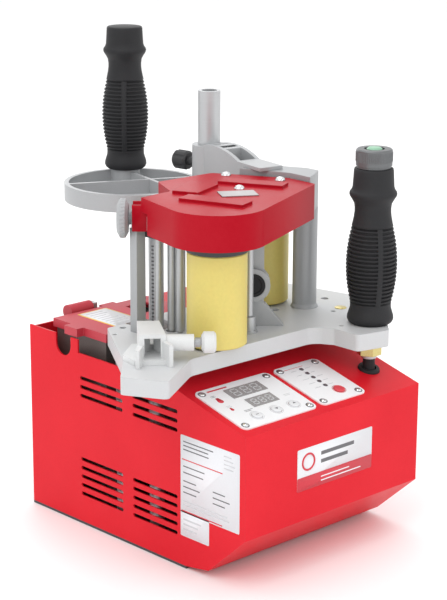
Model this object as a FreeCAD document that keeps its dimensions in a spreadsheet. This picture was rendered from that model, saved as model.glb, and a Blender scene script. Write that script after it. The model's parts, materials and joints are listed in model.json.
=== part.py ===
import FreeCAD, Part
import math
import os
import re

import Sketcher

# Portable edge banding machine, built as a parametric document.
#
# Frame: +Z up, +X to the operator's right, +Y to the rear. The origin is the centre of the
# base pan's underside. All lengths are millimetres and all angles are degrees.
#
# A folded sheet housing holds the glue pot, the drive motor and the circuit board. A cast plate
# stands on four pillars above it. On the plate are the tape guide, the glue and feed rollers, the
# two pressure rollers and the right handle. A cast head joins the tops of the rollers and carries
# an arm, in which the tube of the sole slides: the sole is the ring with the left handle.

DIMENSIONS = {
    # circuit board
    "boardX": 34.0,
    "boardY": -22.0,
    # housing
    "bodyWidth": 194.0,
    "bodyDepth": 256.0,
    "rearHeight": 157.0,
    "frontHeight": 124.0,
    "slopeDepth": 128.0,
    "noseHeight": 42.0,
    "bevelRun": 40.0,
    "bevelFoot": 6.0,
    "bottomRun": 65.0,
    "wall": 1.5,
    "panThickness": 2.0,
    "panLip": 12.0,
    "roofReach": 28.0,
    "notchWidth": 19.0,
    "notchRear": 34.0,
    "notchDepth": 17.0,
    "recessLength": 62.0,
    "recessFront": 4.0,
    "recessDepth": 11.0,
    # vents in the side walls
    "ventLength": 52.5,
    "ventHeight": 3.2,
    "ventPitch": 7.45,
    "ventRearY": 37.5,
    "ventFrontY": -27.0,
    "ventUpperZ": 110.8,
    "ventLowerZ": 26.6,
    # plate
    "plateGap": 1.8,
    "plateThickness": 13.5,
    "plateBack": 38.0,
    "plateFront": -73.0,
    "pillarRadius": 6.0,
    "pillarX": 85.0,
    "pillarFront": -16.0,
    "pillarRear": 24.0,
    # pressure rollers
    "rollerRadius": 23.2,
    "rollerLength": 73.0,
    "rollerLift": 1.6,
    "rollerFlange": 8.4,
    "coreRadius": 18.0,
    "axleRadius": 5.0,
    "runClearance": 0.05,
    "frontRollerX": -59.0,
    "frontRollerY": -56.5,
    "rearRollerX": 56.0,
    "rearRollerY": 12.5,
    # head casting and cover
    "headThickness": 11.0,
    "headGap": 0.6,
    "headEndRise": 30.0,
    "coverArc": 38.3,
    "coverHeight": 28.0,
    "coverWall": 2.5,
    "coverEdgeAngle": 22.2,
    "coverRightX": 52.0,
    "coverRib": 2.2,
    "columnRadius": 10.0,
    "columnX": 71.0,
    "columnY": -24.0,
    "postX": -79.7,
    "postY": 11.4,
    "postLength": 9.0,
    "postWidth": 8.0,
    # glue and feed rollers
    "glueX": -61.0,
    "glueY": 11.0,
    "glueRadius": 6.0,
    "gearModule": 0.8,
    "gearTeeth": 20,
    "feedAngle": -82.0,
    "feedRadius": 3.4,
    "pinchRadius": 4.0,
    "tapeGap": 0.6,
    "pinchAngle": -75.0,
    "pinRadius": 3.3,
    "pinX": -68.5,
    "pinY": 0.0,
    "blockHeight": 7.5,
    # support bracket between the pressure rollers
    "bracketX": 3.0,
    "bracketY": -37.0,
    "bracketAngle": -43.6,
    "bracketWidth": 11.0,
    "bracketDepth": 9.0,
    "bossRadius": 13.5,
    "bossHeight": 34.0,
    "shaftX": -17.0,
    "shaftY": -49.0,
    "shaftRadius": 3.0,
    "collarRadius": 5.2,
    # tape guide
    "guideX": -131.0,
    "guideY": -64.0,
    "guideAngle": 50.0,
    "guideLength": 44.0,
    "guideHeight": 22.0,
    "mouthWidth": 12.0,
    "mouthHeight": 15.0,
    "guideBossRadius": 6.3,
    "guideBossLength": 22.0,
    "guideKnobRadius": 8.2,
    "guideKnobLength": 11.0,
    # handles
    "gripRadius": 18.9,
    "gripLength": 126.0,
    "handleTube": 6.0,
    "handleBore": 4.0,
    "rightHandleX": 74.4,
    "rightHandleY": -94.0,
    "nutHeight": 16.0,
    "nutFlats": 17.5,
    "ringRadius": 14.4,
    "ringHeight": 15.0,
    "buttonRadius": 6.2,
    # sole
    "soleX": 37.0,
    "soleY": 152.0,
    "soleRadius": 59.4,
    "soleBottom": 240.0,
    "soleHeight": 15.0,
    "soleFloor": 3.0,
    "soleWall": 4.0,
    "soleBoss": 13.0,
    "leftHandleX": 66.0,
    "leftHandleY": 195.0,
    "tubeX": 67.0,
    "tubeY": 87.0,
    "tubeRadius": 9.4,
    "tubeBore": 6.6,
    "tubeTop": 339.0,
    # arm
    "armBossRadius": 14.5,
    "armGap": 5.0,
    "armBossHeight": 28.0,
    "armWidth": 22.0,
    "armEndX": 52.0,
    "armEndY": 6.0,
    "clampAngle": 98.0,
    "clampScrew": 4.0,
    "clampKnobRadius": 8.2,
    "clampKnobLength": 15.0,
    # thumb wheel of the head
    "earX": -56.0,
    "earY": -8.0,
    "earLength": 35.0,
    "earWidth": 15.0,
    "wheelAngle": 136.0,
    "wheelScrew": 3.0,
    "wheelGap": 0.4,
    "wheelRadius": 16.0,
    "wheelThickness": 9.0,
    # control panels on the slope
    "panelThickness": 1.2,
    "panelLength": 59.0,
    "displayLeft": -90.7,
    "displayWidth": 78.8,
    "indicatorLeft": -6.5,
    "indicatorWidth": 49.7,
    "panelFront": 7.8,
    "panelCorner": 5.0,
    "panelInset": 5.0,
    "screwHead": 2.6,
    "keyRadius": 4.2,
    "keyTravel": 0.8,
    "stopRadius": 4.6,
    # glue pot and lid
    "potLeft": -84.0,
    "potRight": 6.0,
    "potFront": 46.0,
    "potRear": 108.0,
    "potDepth": 84.0,
    "potWall": 6.0,
    "lidHeight": 7.0,
    "hingeY": 117.0,
    "hingeRadius": 6.0,
    # power inlet at the rear
    "inletX": 45.0,
    "inletZ": 42.0,
    "inletWidth": 48.0,
    "inletHeight": 58.0,
    "rockerWidth": 22.0,
    "rockerHeight": 18.0,
}

doc = FreeCAD.newDocument("EdgeBandingMachine")
sheet = doc.addObject("Spreadsheet::Sheet", "Size")
for row, (alias, value) in enumerate(DIMENSIONS.items(), start=1):
    sheet.set(f"A{row}", alias)
    sheet.set(f"B{row}", str(value))
    sheet.setAlias(f"B{row}", alias)
doc.recompute()

PIECES = []


# ---------------------------------------------------------------- expressions and placing

def expr(text):
    """The expression with each dimension's name pointing at its cell."""
    def cell(match):
        word = match.group()
        return f"Size.{word}" if word in DIMENSIONS else word
    return re.sub(r"[A-Za-z]\w*", cell, str(text))


def num(text):
    """The present value of an expression, as a plain number."""
    value = sheet.evalExpression(expr(text))
    return float(getattr(value, "Value", value))


def bind(item, **expressions):
    """Bind properties of an object to expressions of the sheet."""
    for name, text in expressions.items():
        item.setExpression(name, expr(text))
    return item


def place(item, x="0", y="0", z="0", axis=(0, 0, 1), angle="0"):
    """Turn an object about an axis through its own origin, then bind where it stands."""
    turn = FreeCAD.Rotation(FreeCAD.Vector(*axis), num(angle))
    item.Placement = FreeCAD.Placement(FreeCAD.Vector(), turn)
    for name, text in zip("xyz", (x, y, z)):
        item.setExpression(f"Placement.Base.{name}", expr(text))
    return item


def point_along(item, x, y, z, heading, tilt="0"):
    """Place an object so that its own +Z points level along a heading in the plan, in degrees."""
    level = FreeCAD.Rotation(FreeCAD.Vector(0, 1, 0), 90 - num(tilt))
    turn = FreeCAD.Rotation(FreeCAD.Vector(0, 0, 1), num(heading))
    item.Placement = FreeCAD.Placement(FreeCAD.Vector(), turn.multiply(level))
    for name, text in zip("xyz", (x, y, z)):
        item.setExpression(f"Placement.Base.{name}", expr(text))
    return item


def piece(item, label):
    """Name an object as a finished sub-part, which gets a file of its own."""
    item.Label = label
    PIECES.append(item)
    return item


# ---------------------------------------------------------------- primitives and booleans

def box(name, length, width, height, x="0", y="0", z="0"):
    """A block centred on x and y that stands on z."""
    item = doc.addObject("Part::Box", name)
    bind(item, Length=length, Width=width, Height=height)
    return place(item, f"({x}) - ({length}) / 2", f"({y}) - ({width}) / 2", z)


def rod(name, radius, height, x="0", y="0", z="0"):
    """An upright cylinder that stands on z."""
    item = doc.addObject("Part::Cylinder", name)
    bind(item, Radius=radius, Height=height)
    return place(item, x, y, z)


def dome(name, radius, height, x="0", y="0", z="0"):
    """An upright spherical cap that stands on z."""
    item = doc.addObject("Part::Ellipsoid", name)
    bind(item, Radius1=height, Radius2=radius, Radius3=radius)
    item.Angle1 = 0
    return place(item, x, y, z)


def prism(name, radius, height, sides, x="0", y="0", z="0"):
    """An upright regular prism that stands on z."""
    item = doc.addObject("Part::Prism", name)
    item.Polygon = sides
    bind(item, Circumradius=radius, Height=height)
    return place(item, x, y, z)


def fuse(name, *items):
    """One solid from pieces that touch."""
    item = doc.addObject("Part::MultiFuse", name)
    item.Shapes = list(items)
    item.Refine = True
    return item


def group(name, *items):
    """Separate solids kept together."""
    item = doc.addObject("Part::Compound", name)
    item.Links = list(items)
    return item


def cut(name, base, *tools):
    """A base without its tools."""
    item = doc.addObject("Part::Cut", name)
    item.Base = base
    item.Tool = tools[0] if len(tools) == 1 else fuse(name + "Tools", *tools)
    item.Refine = True
    return item


# ---------------------------------------------------------------- bodies and sketches

def new_body(label):
    """An empty body that is also a finished sub-part."""
    return piece(doc.addObject("PartDesign::Body", label), label)


def new_sketch(body, name, role="XY_Plane", offset="0"):
    """A sketch on one of the body's own origin planes, lifted off it by an offset."""
    sketch = body.newObject("Sketcher::SketchObject", name)
    plane = [item for item in body.Origin.OriginFeatures if item.Role == role][0]
    sketch.AttachmentSupport = [(plane, "")]
    sketch.MapMode = "FlatFace"
    sketch.setExpression("AttachmentOffset.Base.z", expr(offset))
    return sketch


def outline(sketch, corners):
    """A closed loop through corners (x, y) or (x, y, radius).

    A radius turns the side that starts at that corner into an arc: positive bulges to the right
    of the way round, negative to the left, and "half" is a half circle to the right.
    """
    first = sketch.GeometryCount
    points = [FreeCAD.Vector(num(corner[0]), num(corner[1]), 0) for corner in corners]
    ends = []
    for index, corner in enumerate(corners):
        start = points[index]
        stop = points[(index + 1) % len(points)]
        if len(corner) == 2:
            sketch.addGeometry(Part.LineSegment(start, stop))
            ends.append((1, 2))
            continue
        chord = stop - start
        half = chord.Length / 2
        radius = half if corner[2] == "half" else num(corner[2])
        side = FreeCAD.Vector(-chord.y, chord.x, 0).normalize()
        away = math.sqrt(max(radius * radius - half * half, 0.0))
        centre = (start + stop) * 0.5 + side * math.copysign(away, radius)
        begin = start if radius > 0 else stop
        finish = stop if radius > 0 else start
        first_angle = math.atan2(begin.y - centre.y, begin.x - centre.x)
        last_angle = math.atan2(finish.y - centre.y, finish.x - centre.x)
        circle = Part.Circle(centre, FreeCAD.Vector(0, 0, 1), abs(radius))
        sketch.addGeometry(Part.ArcOfCircle(circle, first_angle, last_angle))
        ends.append((1, 2) if radius > 0 else (2, 1))
    constraints = []
    bound = []
    for index, corner in enumerate(corners):
        geometry = first + index
        following = first + (index + 1) % len(corners)
        after = ends[(index + 1) % len(corners)][0]
        constraints.append(Sketcher.Constraint("Coincident", geometry, ends[index][1], following, after))
    for index, corner in enumerate(corners):
        geometry = first + index
        start = ends[index][0]
        for way, text in (("DistanceX", corner[0]), ("DistanceY", corner[1])):
            bound.append((len(constraints), text))
            constraints.append(Sketcher.Constraint(way, -1, 1, geometry, start, num(text)))
        if len(corner) == 3 and corner[2] == "half":
            following = corners[(index + 1) % len(corners)]
            way = 0 if abs(num(corner[0]) - num(following[0])) < 1e-6 else 1
            middle = f"(({corner[way]}) + ({following[way]})) / 2"
            bound.append((len(constraints), middle))
            kind = ("DistanceX", "DistanceY")[way]
            constraints.append(Sketcher.Constraint(kind, -1, 1, geometry, 3, num(middle)))
        elif len(corner) == 3:
            bound.append((len(constraints), f"abs({corner[2]})"))
            constraints.append(Sketcher.Constraint("Radius", geometry, abs(num(corner[2]))))
    before = sketch.ConstraintCount
    sketch.addConstraint(constraints)
    for index, text in bound:
        sketch.setExpression(f"Constraints[{before + index}]", expr(text))


def ring(sketch, x, y, radius):
    """A circle in a sketch."""
    geometry = sketch.GeometryCount
    before = sketch.ConstraintCount
    centre = FreeCAD.Vector(num(x), num(y), 0)
    sketch.addGeometry(Part.Circle(centre, FreeCAD.Vector(0, 0, 1), num(radius)))
    sketch.addConstraint([
        Sketcher.Constraint("DistanceX", -1, 1, geometry, 3, num(x)),
        Sketcher.Constraint("DistanceY", -1, 1, geometry, 3, num(y)),
        Sketcher.Constraint("Radius", geometry, num(radius)),
    ])
    for index, text in enumerate((x, y, radius)):
        sketch.setExpression(f"Constraints[{before + index}]", expr(text))


def pad(body, sketch, length, midplane=False, reverse=False):
    """Material along the sketch's normal."""
    feature = body.newObject("PartDesign::Pad", sketch.Name + "Pad")
    feature.Profile = sketch
    feature.Midplane = midplane
    feature.Reversed = reverse
    bind(feature, Length=length)
    doc.recompute()
    return feature


def pocket(body, sketch, depth=None, midplane=False, reverse=False):
    """Material taken away against the sketch's normal; right through when no depth is given."""
    before = body.Shape.Volume
    feature = body.newObject("PartDesign::Pocket", sketch.Name + "Pocket")
    feature.Profile = sketch
    feature.Midplane = midplane
    feature.Reversed = reverse
    if depth is None:
        feature.Type = "ThroughAll"
    else:
        bind(feature, Length=depth)
    doc.recompute()
    if body.Shape.Volume > before - 1e-6:
        raise RuntimeError(f"{feature.Name} took nothing away")
    return feature


def turned(body, profile, name="Profile"):
    """A solid of revolution about the body's own Z from (radius, height) corners."""
    sketch = new_sketch(body, body.Label + name, "XZ_Plane")
    outline(sketch, profile)
    feature = body.newObject("PartDesign::Revolution", body.Label + name + "Turn")
    feature.Profile = sketch
    feature.ReferenceAxis = (sketch, ["V_Axis"])
    feature.Angle = 360
    doc.recompute()
    return feature


def grooved(body, profile, name="Groove"):
    """A groove turned about the body's own Z from (radius, height) corners."""
    before = body.Shape.Volume
    sketch = new_sketch(body, body.Label + name, "XZ_Plane")
    outline(sketch, profile)
    feature = body.newObject("PartDesign::Groove", body.Label + name + "Turn")
    feature.Profile = sketch
    feature.ReferenceAxis = (sketch, ["V_Axis"])
    feature.Angle = 360
    doc.recompute()
    if body.Shape.Volume > before - 1e-6:
        raise RuntimeError(f"{feature.Name} took nothing away")
    return feature


def row_of(body, feature, sketch, length, count, axis="V_Axis"):
    """A row of copies of a feature along one axis of its sketch."""
    pattern = body.newObject("PartDesign::LinearPattern", feature.Name + "Row")
    pattern.Originals = [feature]
    pattern.Direction = (sketch, [axis])
    bind(pattern, Length=length)
    pattern.Occurrences = count
    body.Tip = pattern
    doc.recompute()
    return pattern


def circle_of(body, feature, sketch, count):
    """Copies of a feature all round the sketch's normal."""
    pattern = body.newObject("PartDesign::PolarPattern", feature.Name + "Circle")
    pattern.Originals = [feature]
    pattern.Axis = (sketch, ["N_Axis"])
    pattern.Angle = 360
    pattern.Occurrences = count
    body.Tip = pattern
    doc.recompute()
    return pattern


def round_upright(body, feature, corners, radius):
    """Fillet the upright edges that stand at the given plan corners."""
    names = []
    for index, edge in enumerate(feature.Shape.Edges, start=1):
        low = edge.Vertexes[0].Point
        high = edge.Vertexes[-1].Point
        if math.hypot(low.x - high.x, low.y - high.y) > 1e-6 or abs(low.z - high.z) < 1e-6:
            continue
        for corner in corners:
            if math.hypot(low.x - num(corner[0]), low.y - num(corner[1])) < 1e-3:
                names.append(f"Edge{index}")
    if not names:
        raise RuntimeError(f"no upright edge to round in {body.Label}")
    fillet = body.newObject("PartDesign::Fillet", feature.Name + "Round")
    fillet.Base = (feature, names)
    bind(fillet, Radius=radius)
    doc.recompute()
    return fillet


# ---------------------------------------------------------------- shared levels

PLATE_LOW = "(rearHeight + plateGap)"
PLATE_TOP = f"({PLATE_LOW} + plateThickness)"
ROLLER_LOW = f"({PLATE_TOP} + rollerLift)"
ROLLER_TOP = f"({ROLLER_LOW} + rollerLength)"
HEAD_LOW = f"({ROLLER_TOP} + rollerFlange + headGap)"
HEAD_TOP = f"({HEAD_LOW} + headThickness)"
COVER_LOW = f"({HEAD_LOW} - 2)"
COVER_TOP = f"({COVER_LOW} + coverHeight)"
HEAD_END = f"({HEAD_LOW} + headEndRise)"
FRONT = "(-bodyDepth / 2)"
REAR = "(bodyDepth / 2)"
SIDE = "(bodyWidth / 2)"
SLOPE_END = f"({FRONT} + slopeDepth)"
SLOPE_ANGLE = "atan((rearHeight - frontHeight) / slopeDepth)"


# ---------------------------------------------------------------- housing

def build_base_pan():
    """Steel pan: the flat rest face, with a lip folded up inside each side wall."""
    front = f"({FRONT} + bottomRun)"
    length = f"(bodyDepth - bottomRun)"
    middle = f"({front} + {length} / 2)"
    inner = "(bodyWidth - 2 * wall - 0.4)"
    floor = box("PanFloor", "bodyWidth", length, "panThickness", "0", middle)
    left = box("PanLeft", "wall", f"{length} - 8", "panLip",
               f"-{inner} / 2 + wall / 2", middle, "panThickness")
    right = box("PanRight", "wall", f"{length} - 8", "panLip",
                f"{inner} / 2 - wall / 2", middle, "panThickness")
    posts = [
        rod(f"BoardPost{side}{end}", "3", "8", f"{x}", f"{y}", "panThickness")
        for side, x in enumerate(("boardX - 32", "boardX + 32"))
        for end, y in enumerate(("boardY - 26", "boardY + 26"))
    ]
    piece(fuse("base_pan", floor, left, right, *posts), "base_pan")


def side_profile(inset):
    """The housing seen from its side, all faces moved in by the inset."""
    slope_lift = f"({inset}) / cos({SLOPE_ANGLE})"
    return [
        (f"{FRONT} + {inset}", f"noseHeight + ({inset}) * 0.4"),
        (f"{FRONT} + bevelRun + ({inset}) * 0.55", f"bevelFoot + ({inset})"),
        (f"{FRONT} + bottomRun", f"panThickness + ({inset})"),
        (f"{REAR}", f"panThickness + ({inset})"),
        (f"{REAR}", f"rearHeight - ({inset})"),
        (f"{SLOPE_END}", f"rearHeight - {slope_lift}"),
        (f"{FRONT} + {inset}", f"frontHeight - {slope_lift} + ({inset}) * tan({SLOPE_ANGLE})"),
    ]


def build_housing_shell():
    """Red sheet housing: front, bevel, slope and both side walls, open to the rear and the pan."""
    body = new_body("housing_shell")
    outer = new_sketch(body, "ShellOuter", "YZ_Plane")
    outline(outer, side_profile("0"))
    pad(body, outer, "bodyWidth", midplane=True)
    inner = new_sketch(body, "ShellInner", "YZ_Plane")
    outline(inner, side_profile("wall"))
    pocket(body, inner, "bodyWidth - 2 * wall", midplane=True)
    # the rear is closed by the rear panel, and the underside by the pan
    under = new_sketch(body, "ShellUnder", "XY_Plane", "0")
    front = f"({FRONT} + bottomRun)"
    outline(under, [
        (f"-{SIDE} + wall", front),
        (f"{SIDE} - wall", front),
        (f"{SIDE} - wall", f"{REAR} + 1"),
        (f"-{SIDE} + wall", f"{REAR} + 1"),
    ])
    pocket(body, under, "panThickness + wall + 1", reverse=True)
    # the roof is open under the plate for the drive, and at the left behind it for the glue pot
    roof = new_sketch(body, "ShellRoof", "XY_Plane", "rearHeight")
    outline(roof, [
        (f"-{SIDE} + wall", f"{SLOPE_END} - roofReach"),
        (f"{SIDE} - wall", f"{SLOPE_END} - roofReach"),
        (f"{SIDE} - wall", "plateBack - 4"),
        ("potRight + 11", "plateBack - 4"),
        ("potRight + 11", f"{REAR} + 1"),
        (f"-{SIDE} + wall", f"{REAR} + 1"),
    ])
    pocket(body, roof, f"wall + 2 + roofReach * tan({SLOPE_ANGLE})")
    # the left wall has a round-bottomed notch and a long recess in its top edge
    notch = new_sketch(body, "ShellNotch", "YZ_Plane", f"-{SIDE} - 1")
    back = f"({REAR} - notchRear)"
    low = "(rearHeight - notchDepth)"
    outline(notch, [
        (back, "rearHeight + 1"),
        (f"{back} - notchWidth", "rearHeight + 1"),
        (f"{back} - notchWidth", f"{low} + notchWidth / 2", "half"),
        (back, f"{low} + notchWidth / 2"),
    ])
    pocket(body, notch, "wall + 2", reverse=True)
    recess = new_sketch(body, "ShellRecess", "YZ_Plane", f"-{SIDE} - 1")
    outline(recess, [
        (f"{SLOPE_END} + recessFront + recessLength", "rearHeight + 1"),
        (f"{SLOPE_END} + recessFront", "rearHeight + 1"),
        (f"{SLOPE_END} + recessFront", "rearHeight - recessDepth"),
        (f"{SLOPE_END} + recessFront + recessLength", "rearHeight - recessDepth"),
    ])
    pocket(body, recess, "wall + 2", reverse=True)
    vents = [
        ("RearUpper", "ventRearY", "ventUpperZ", 3),
        ("RearLower", "ventRearY", "ventLowerZ", 5),
        ("FrontUpper", "ventFrontY", "ventUpperZ", 3),
        ("FrontLower", "ventFrontY", "ventLowerZ", 5),
    ]
    for name, middle, low, count in vents:
        slot = new_sketch(body, "Vent" + name, "YZ_Plane")
        half = "(ventLength / 2 - ventHeight / 2)"
        outline(slot, [
            (f"{middle} - {half}", f"{low} - ventHeight / 2"),
            (f"{middle} + {half}", f"{low} - ventHeight / 2", "half"),
            (f"{middle} + {half}", f"{low} + ventHeight / 2"),
            (f"{middle} - {half}", f"{low} + ventHeight / 2", "half"),
        ])
        feature = pocket(body, slot, "bodyWidth + 2", midplane=True)
        row_of(body, feature, slot, f"ventPitch * {count - 1}", count)
    # hole in the slope for the grommet of the handle's cable
    hole = new_sketch(body, "ShellCableHole", "XY_Plane", "rearHeight")
    ring(hole, "rightHandleX", "rightHandleY", "handleTube + 1")
    pocket(body, hole, "rearHeight - frontHeight + 4")
    return body


def build_rear_panel():
    """Rear sheet with the opening of the power inlet."""
    width = "(bodyWidth - 2 * wall - 0.2)"
    top = "(rearHeight - wall - 0.3)"
    sheet_part = box("RearSheet", width, "wall", f"{top} - panThickness - 0.1", "0", f"{REAR} - wall / 2",
                     "panThickness + 0.1")
    opening = box("InletOpening", "inletWidth - 10", "wall * 4", "inletHeight - 10", "inletX",
                  f"{REAR} - wall / 2", "inletZ - inletHeight / 2 + 5")
    holes = [
        point_along(rod(f"RearHole{index}", "1.6", "wall * 4"), x, f"{REAR} - 3 * wall", z, "90")
        for index, (x, z) in enumerate(REAR_SCREWS)
    ]
    piece(cut("rear_panel", sheet_part, opening, *holes), "rear_panel")


REAR_SCREWS = [
    (f"{way}({SIDE} - 9)", z)
    for way in ("-", "")
    for z in ("18", "rearHeight - 16")
]


def sheet_screw(name):
    """A sheet-metal screw: a domed head with a short shank below it."""
    head = dome(name + "Head", "screwHead", "1.4")
    shank = rod(name + "Shank", "1.5", "panelThickness", "0", "0", "-panelThickness")
    return fuse(name, head, shank)


def rear_screws():
    """The screws of the rear panel."""
    return [
        point_along(sheet_screw(f"RearScrew{index}"), x, REAR, z, "90")
        for index, (x, z) in enumerate(REAR_SCREWS)
    ]


# ---------------------------------------------------------------- plate

PLATE_CORNERS = [
    ("guideX - 18", "guideY - 37"),
    ("-99.4", "plateFront + 2"),
    ("rightHandleX - 44", "plateFront"),
    ("rightHandleX - 35", "rightHandleY + 6"),
    ("rightHandleX - 35", "rightHandleY - 19"),
    ("rightHandleX - 6", "rightHandleY - 26"),
    ("rightHandleX + 25", "rightHandleY + 7"),
    ("columnX + 54", "columnY"),
    ("columnX + 41", "plateBack"),
    ("glueX + 23", "plateBack"),
    ("glueX + 14", "glueY - 9"),
    ("glueX - 12", "glueY - 9"),
    ("glueX - 11", "plateBack - 3"),
    ("postX - 12", "plateBack - 3"),
    ("guideX - 9", "guideY + 23"),
    ("guideX - 36", "guideY - 5"),
]

PILLARS = [
    (f"{way}pillarX", y)
    for way in ("-", "")
    for y in ("pillarFront", "pillarRear")
]

PLATE_HOLES = [
    ("100", "-20", "3.3"),
    ("columnX - 27", "columnY + 8", "4.2"),
    ("rightHandleX + 2", "rightHandleY + 42", "2.1"),
    ("rightHandleX + 16", "rightHandleY + 46", "4.0"),
    ("postX - 2", "postY + 16", "2.6"),
    ("postX - 19", "postY + 6", "1.8"),
    ("rightHandleX - 25", "rightHandleY + 8", "2.0"),
]


def build_top_plate():
    """Cast plate that carries the rollers, the guide and the right handle."""
    body = new_body("top_plate")
    sketch = new_sketch(body, "PlateOutline", "XY_Plane", PLATE_LOW)
    outline(sketch, PLATE_CORNERS)
    feature = pad(body, sketch, "plateThickness")
    feature = round_upright(body, feature, [PLATE_CORNERS[1], PLATE_CORNERS[2]], "14")
    tips = [PLATE_CORNERS[index] for index in (0, 3, 4, 5, 6, 7, 8, 9, 12, 13, 15)]
    feature = round_upright(body, feature, tips, "4")
    holes = new_sketch(body, "PlateHoles", "XY_Plane", PLATE_TOP)
    for x, y, radius in PLATE_HOLES:
        ring(holes, x, y, radius)
    ring(holes, "rightHandleX", "rightHandleY", "handleTube + 0.1")
    for x, y in (("frontRollerX", "frontRollerY"), ("rearRollerX", "rearRollerY")):
        ring(holes, x, y, "axleRadius + 0.05")
    ring(holes, FEED_X, FEED_Y, "feedRadius + 1")
    ring(holes, "shaftX", "shaftY", "shaftRadius + 0.1")
    pocket(body, holes)
    return body


FEED_X = "(glueX + gearModule * gearTeeth * cos(feedAngle))"
FEED_Y = "(glueY + gearModule * gearTeeth * sin(feedAngle))"
PINCH_X = f"({FEED_X} + (feedRadius + pinchRadius + tapeGap) * cos(pinchAngle))"
PINCH_Y = f"({FEED_Y} + (feedRadius + pinchRadius + tapeGap) * sin(pinchAngle))"


def build_plate_pillars():
    """Four pillars from the pan to the plate."""
    pillars = [
        rod(f"Pillar{index}", "pillarRadius", f"{PLATE_LOW} - panThickness", x, y, "panThickness")
        for index, (x, y) in enumerate(PILLARS)
    ]
    piece(group("plate_pillars", *pillars), "plate_pillars")


# ---------------------------------------------------------------- pressure rollers

def roller_stand(name, x, y):
    """Sleeve and core of one pressure roller, which turn together about a fixed axle."""
    core = new_body(f"{name}_roller_core")
    turned(core, [
        ("axleRadius + runClearance", "0"),
        ("coreRadius", "0"),
        ("coreRadius", "rollerLength + 0.1"),
        ("rollerRadius + 0.6", "rollerLength + 0.1"),
        ("rollerRadius + 0.6", "rollerLength + rollerFlange - 2"),
        ("rollerRadius - 1.4", "rollerLength + rollerFlange"),
        ("axleRadius + runClearance", "rollerLength + rollerFlange"),
    ])
    place(core, x, y, ROLLER_LOW)
    sleeve = new_body(f"{name}_roller")
    turned(sleeve, [
        ("coreRadius", "0"),
        ("rollerRadius - 1", "0"),
        ("rollerRadius", "1"),
        ("rollerRadius", "rollerLength - 1"),
        ("rollerRadius - 1", "rollerLength"),
        ("coreRadius", "rollerLength"),
    ])
    place(sleeve, x, y, ROLLER_LOW)


def build_roller_axles():
    """The two fixed axles: foot in the plate, a thrust collar, top under the head."""
    axles = []
    for name, x, y in (("Front", "frontRollerX", "frontRollerY"), ("Rear", "rearRollerX", "rearRollerY")):
        pin = rod(f"{name}Pin", "axleRadius", f"{HEAD_TOP} - {PLATE_LOW}", x, y, PLATE_LOW)
        collar = rod(f"{name}Collar", "axleRadius + 3", "rollerLift - 0.3", x, y, PLATE_TOP)
        axles.append(fuse(f"{name}Axle", pin, collar))
    piece(group("roller_axles", *axles), "roller_axles")


# ---------------------------------------------------------------- glue and feed rollers

def add_teeth(body, teeth):
    """Add a straight-toothed rim to a body whose disc reaches the root circle."""
    pitch_radius = "(gearModule * gearTeeth / 2)"
    sketch = new_sketch(body, body.Label + "Tooth")
    root = f"({pitch_radius} - gearModule * 1.3)"
    crown = f"({pitch_radius} + gearModule * 0.8)"
    outline(sketch, [
        (root, "-gearModule * 0.95"),
        (pitch_radius, "-gearModule * 0.68"),
        (crown, "-gearModule * 0.34"),
        (crown, "gearModule * 0.34"),
        (pitch_radius, "gearModule * 0.68"),
        (root, "gearModule * 0.95"),
    ])
    tooth = pad(body, sketch, "5")
    circle_of(body, tooth, sketch, teeth)


def geared_roller(roller_label, gear_label, x, y, radius, heading):
    """A roller with its shaft through the plate, and the gear on the foot of that shaft."""
    roller = new_body(roller_label)
    top = f"({ROLLER_TOP} - {PLATE_LOW})"
    turned(roller, [
        ("0", "-12"),
        ("2.5", "-12"),
        ("2.5", "plateThickness + 1"),
        (radius, "plateThickness + 1"),
        (radius, f"{top} - 1"),
        ("2.5", f"{top} - 1"),
        ("2.5", f"{top} + blockHeight - 1"),
        ("0", f"{top} + blockHeight - 1"),
    ])
    place(roller, x, y, PLATE_LOW)
    gear = new_body(gear_label)
    turned(gear, [
        ("2.5", "0"),
        ("gearModule * gearTeeth / 2 - gearModule * 1.25", "0"),
        ("gearModule * gearTeeth / 2 - gearModule * 1.25", "5"),
        ("2.5", "5"),
    ])
    add_teeth(gear, int(num("gearTeeth")))
    place(gear, x, y, f"{PLATE_LOW} - 10", (0, 0, 1), heading)
    return roller


def build_feed_group():
    """Glue roller, driven feed roller, pinch roller and the fixed pin that steers the tape."""
    half_tooth = "180 / gearTeeth"
    glue = geared_roller("glue_roller", "glue_gear", "glueX", "glueY", "glueRadius", "feedAngle")
    geared_roller("feed_roller", "feed_gear", FEED_X, FEED_Y, "feedRadius", f"feedAngle + 180 + {half_tooth}")
    # the glue roller is knurled lengthwise with shallow flutes
    flute = new_sketch(glue, "GlueFlute", "XY_Plane", "plateThickness + 1")
    ring(flute, "glueRadius + 0.35", "0", "0.8")
    height = f"({ROLLER_TOP} - {PLATE_LOW} - plateThickness - 2)"
    feature = pocket(glue, flute, height, reverse=True)
    circle_of(glue, feature, flute, 16)
    pinch = new_body("pinch_roller")
    turned(pinch, [
        ("2.0", "0"),
        ("pinchRadius", "0"),
        ("pinchRadius", "rollerLength - 2"),
        ("2.0", "rollerLength - 2"),
    ])
    place(pinch, PINCH_X, PINCH_Y, ROLLER_LOW)
    height = f"({HEAD_LOW} - blockHeight - {PLATE_TOP})"
    pinch_pin = rod("PinchPin", "2.0 - runClearance", height, PINCH_X, PINCH_Y, PLATE_TOP)
    steering_pin = rod("SteeringPin", "pinRadius", height, "pinX", "pinY", PLATE_TOP)
    piece(group("tape_pins", pinch_pin, steering_pin), "tape_pins")


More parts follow.
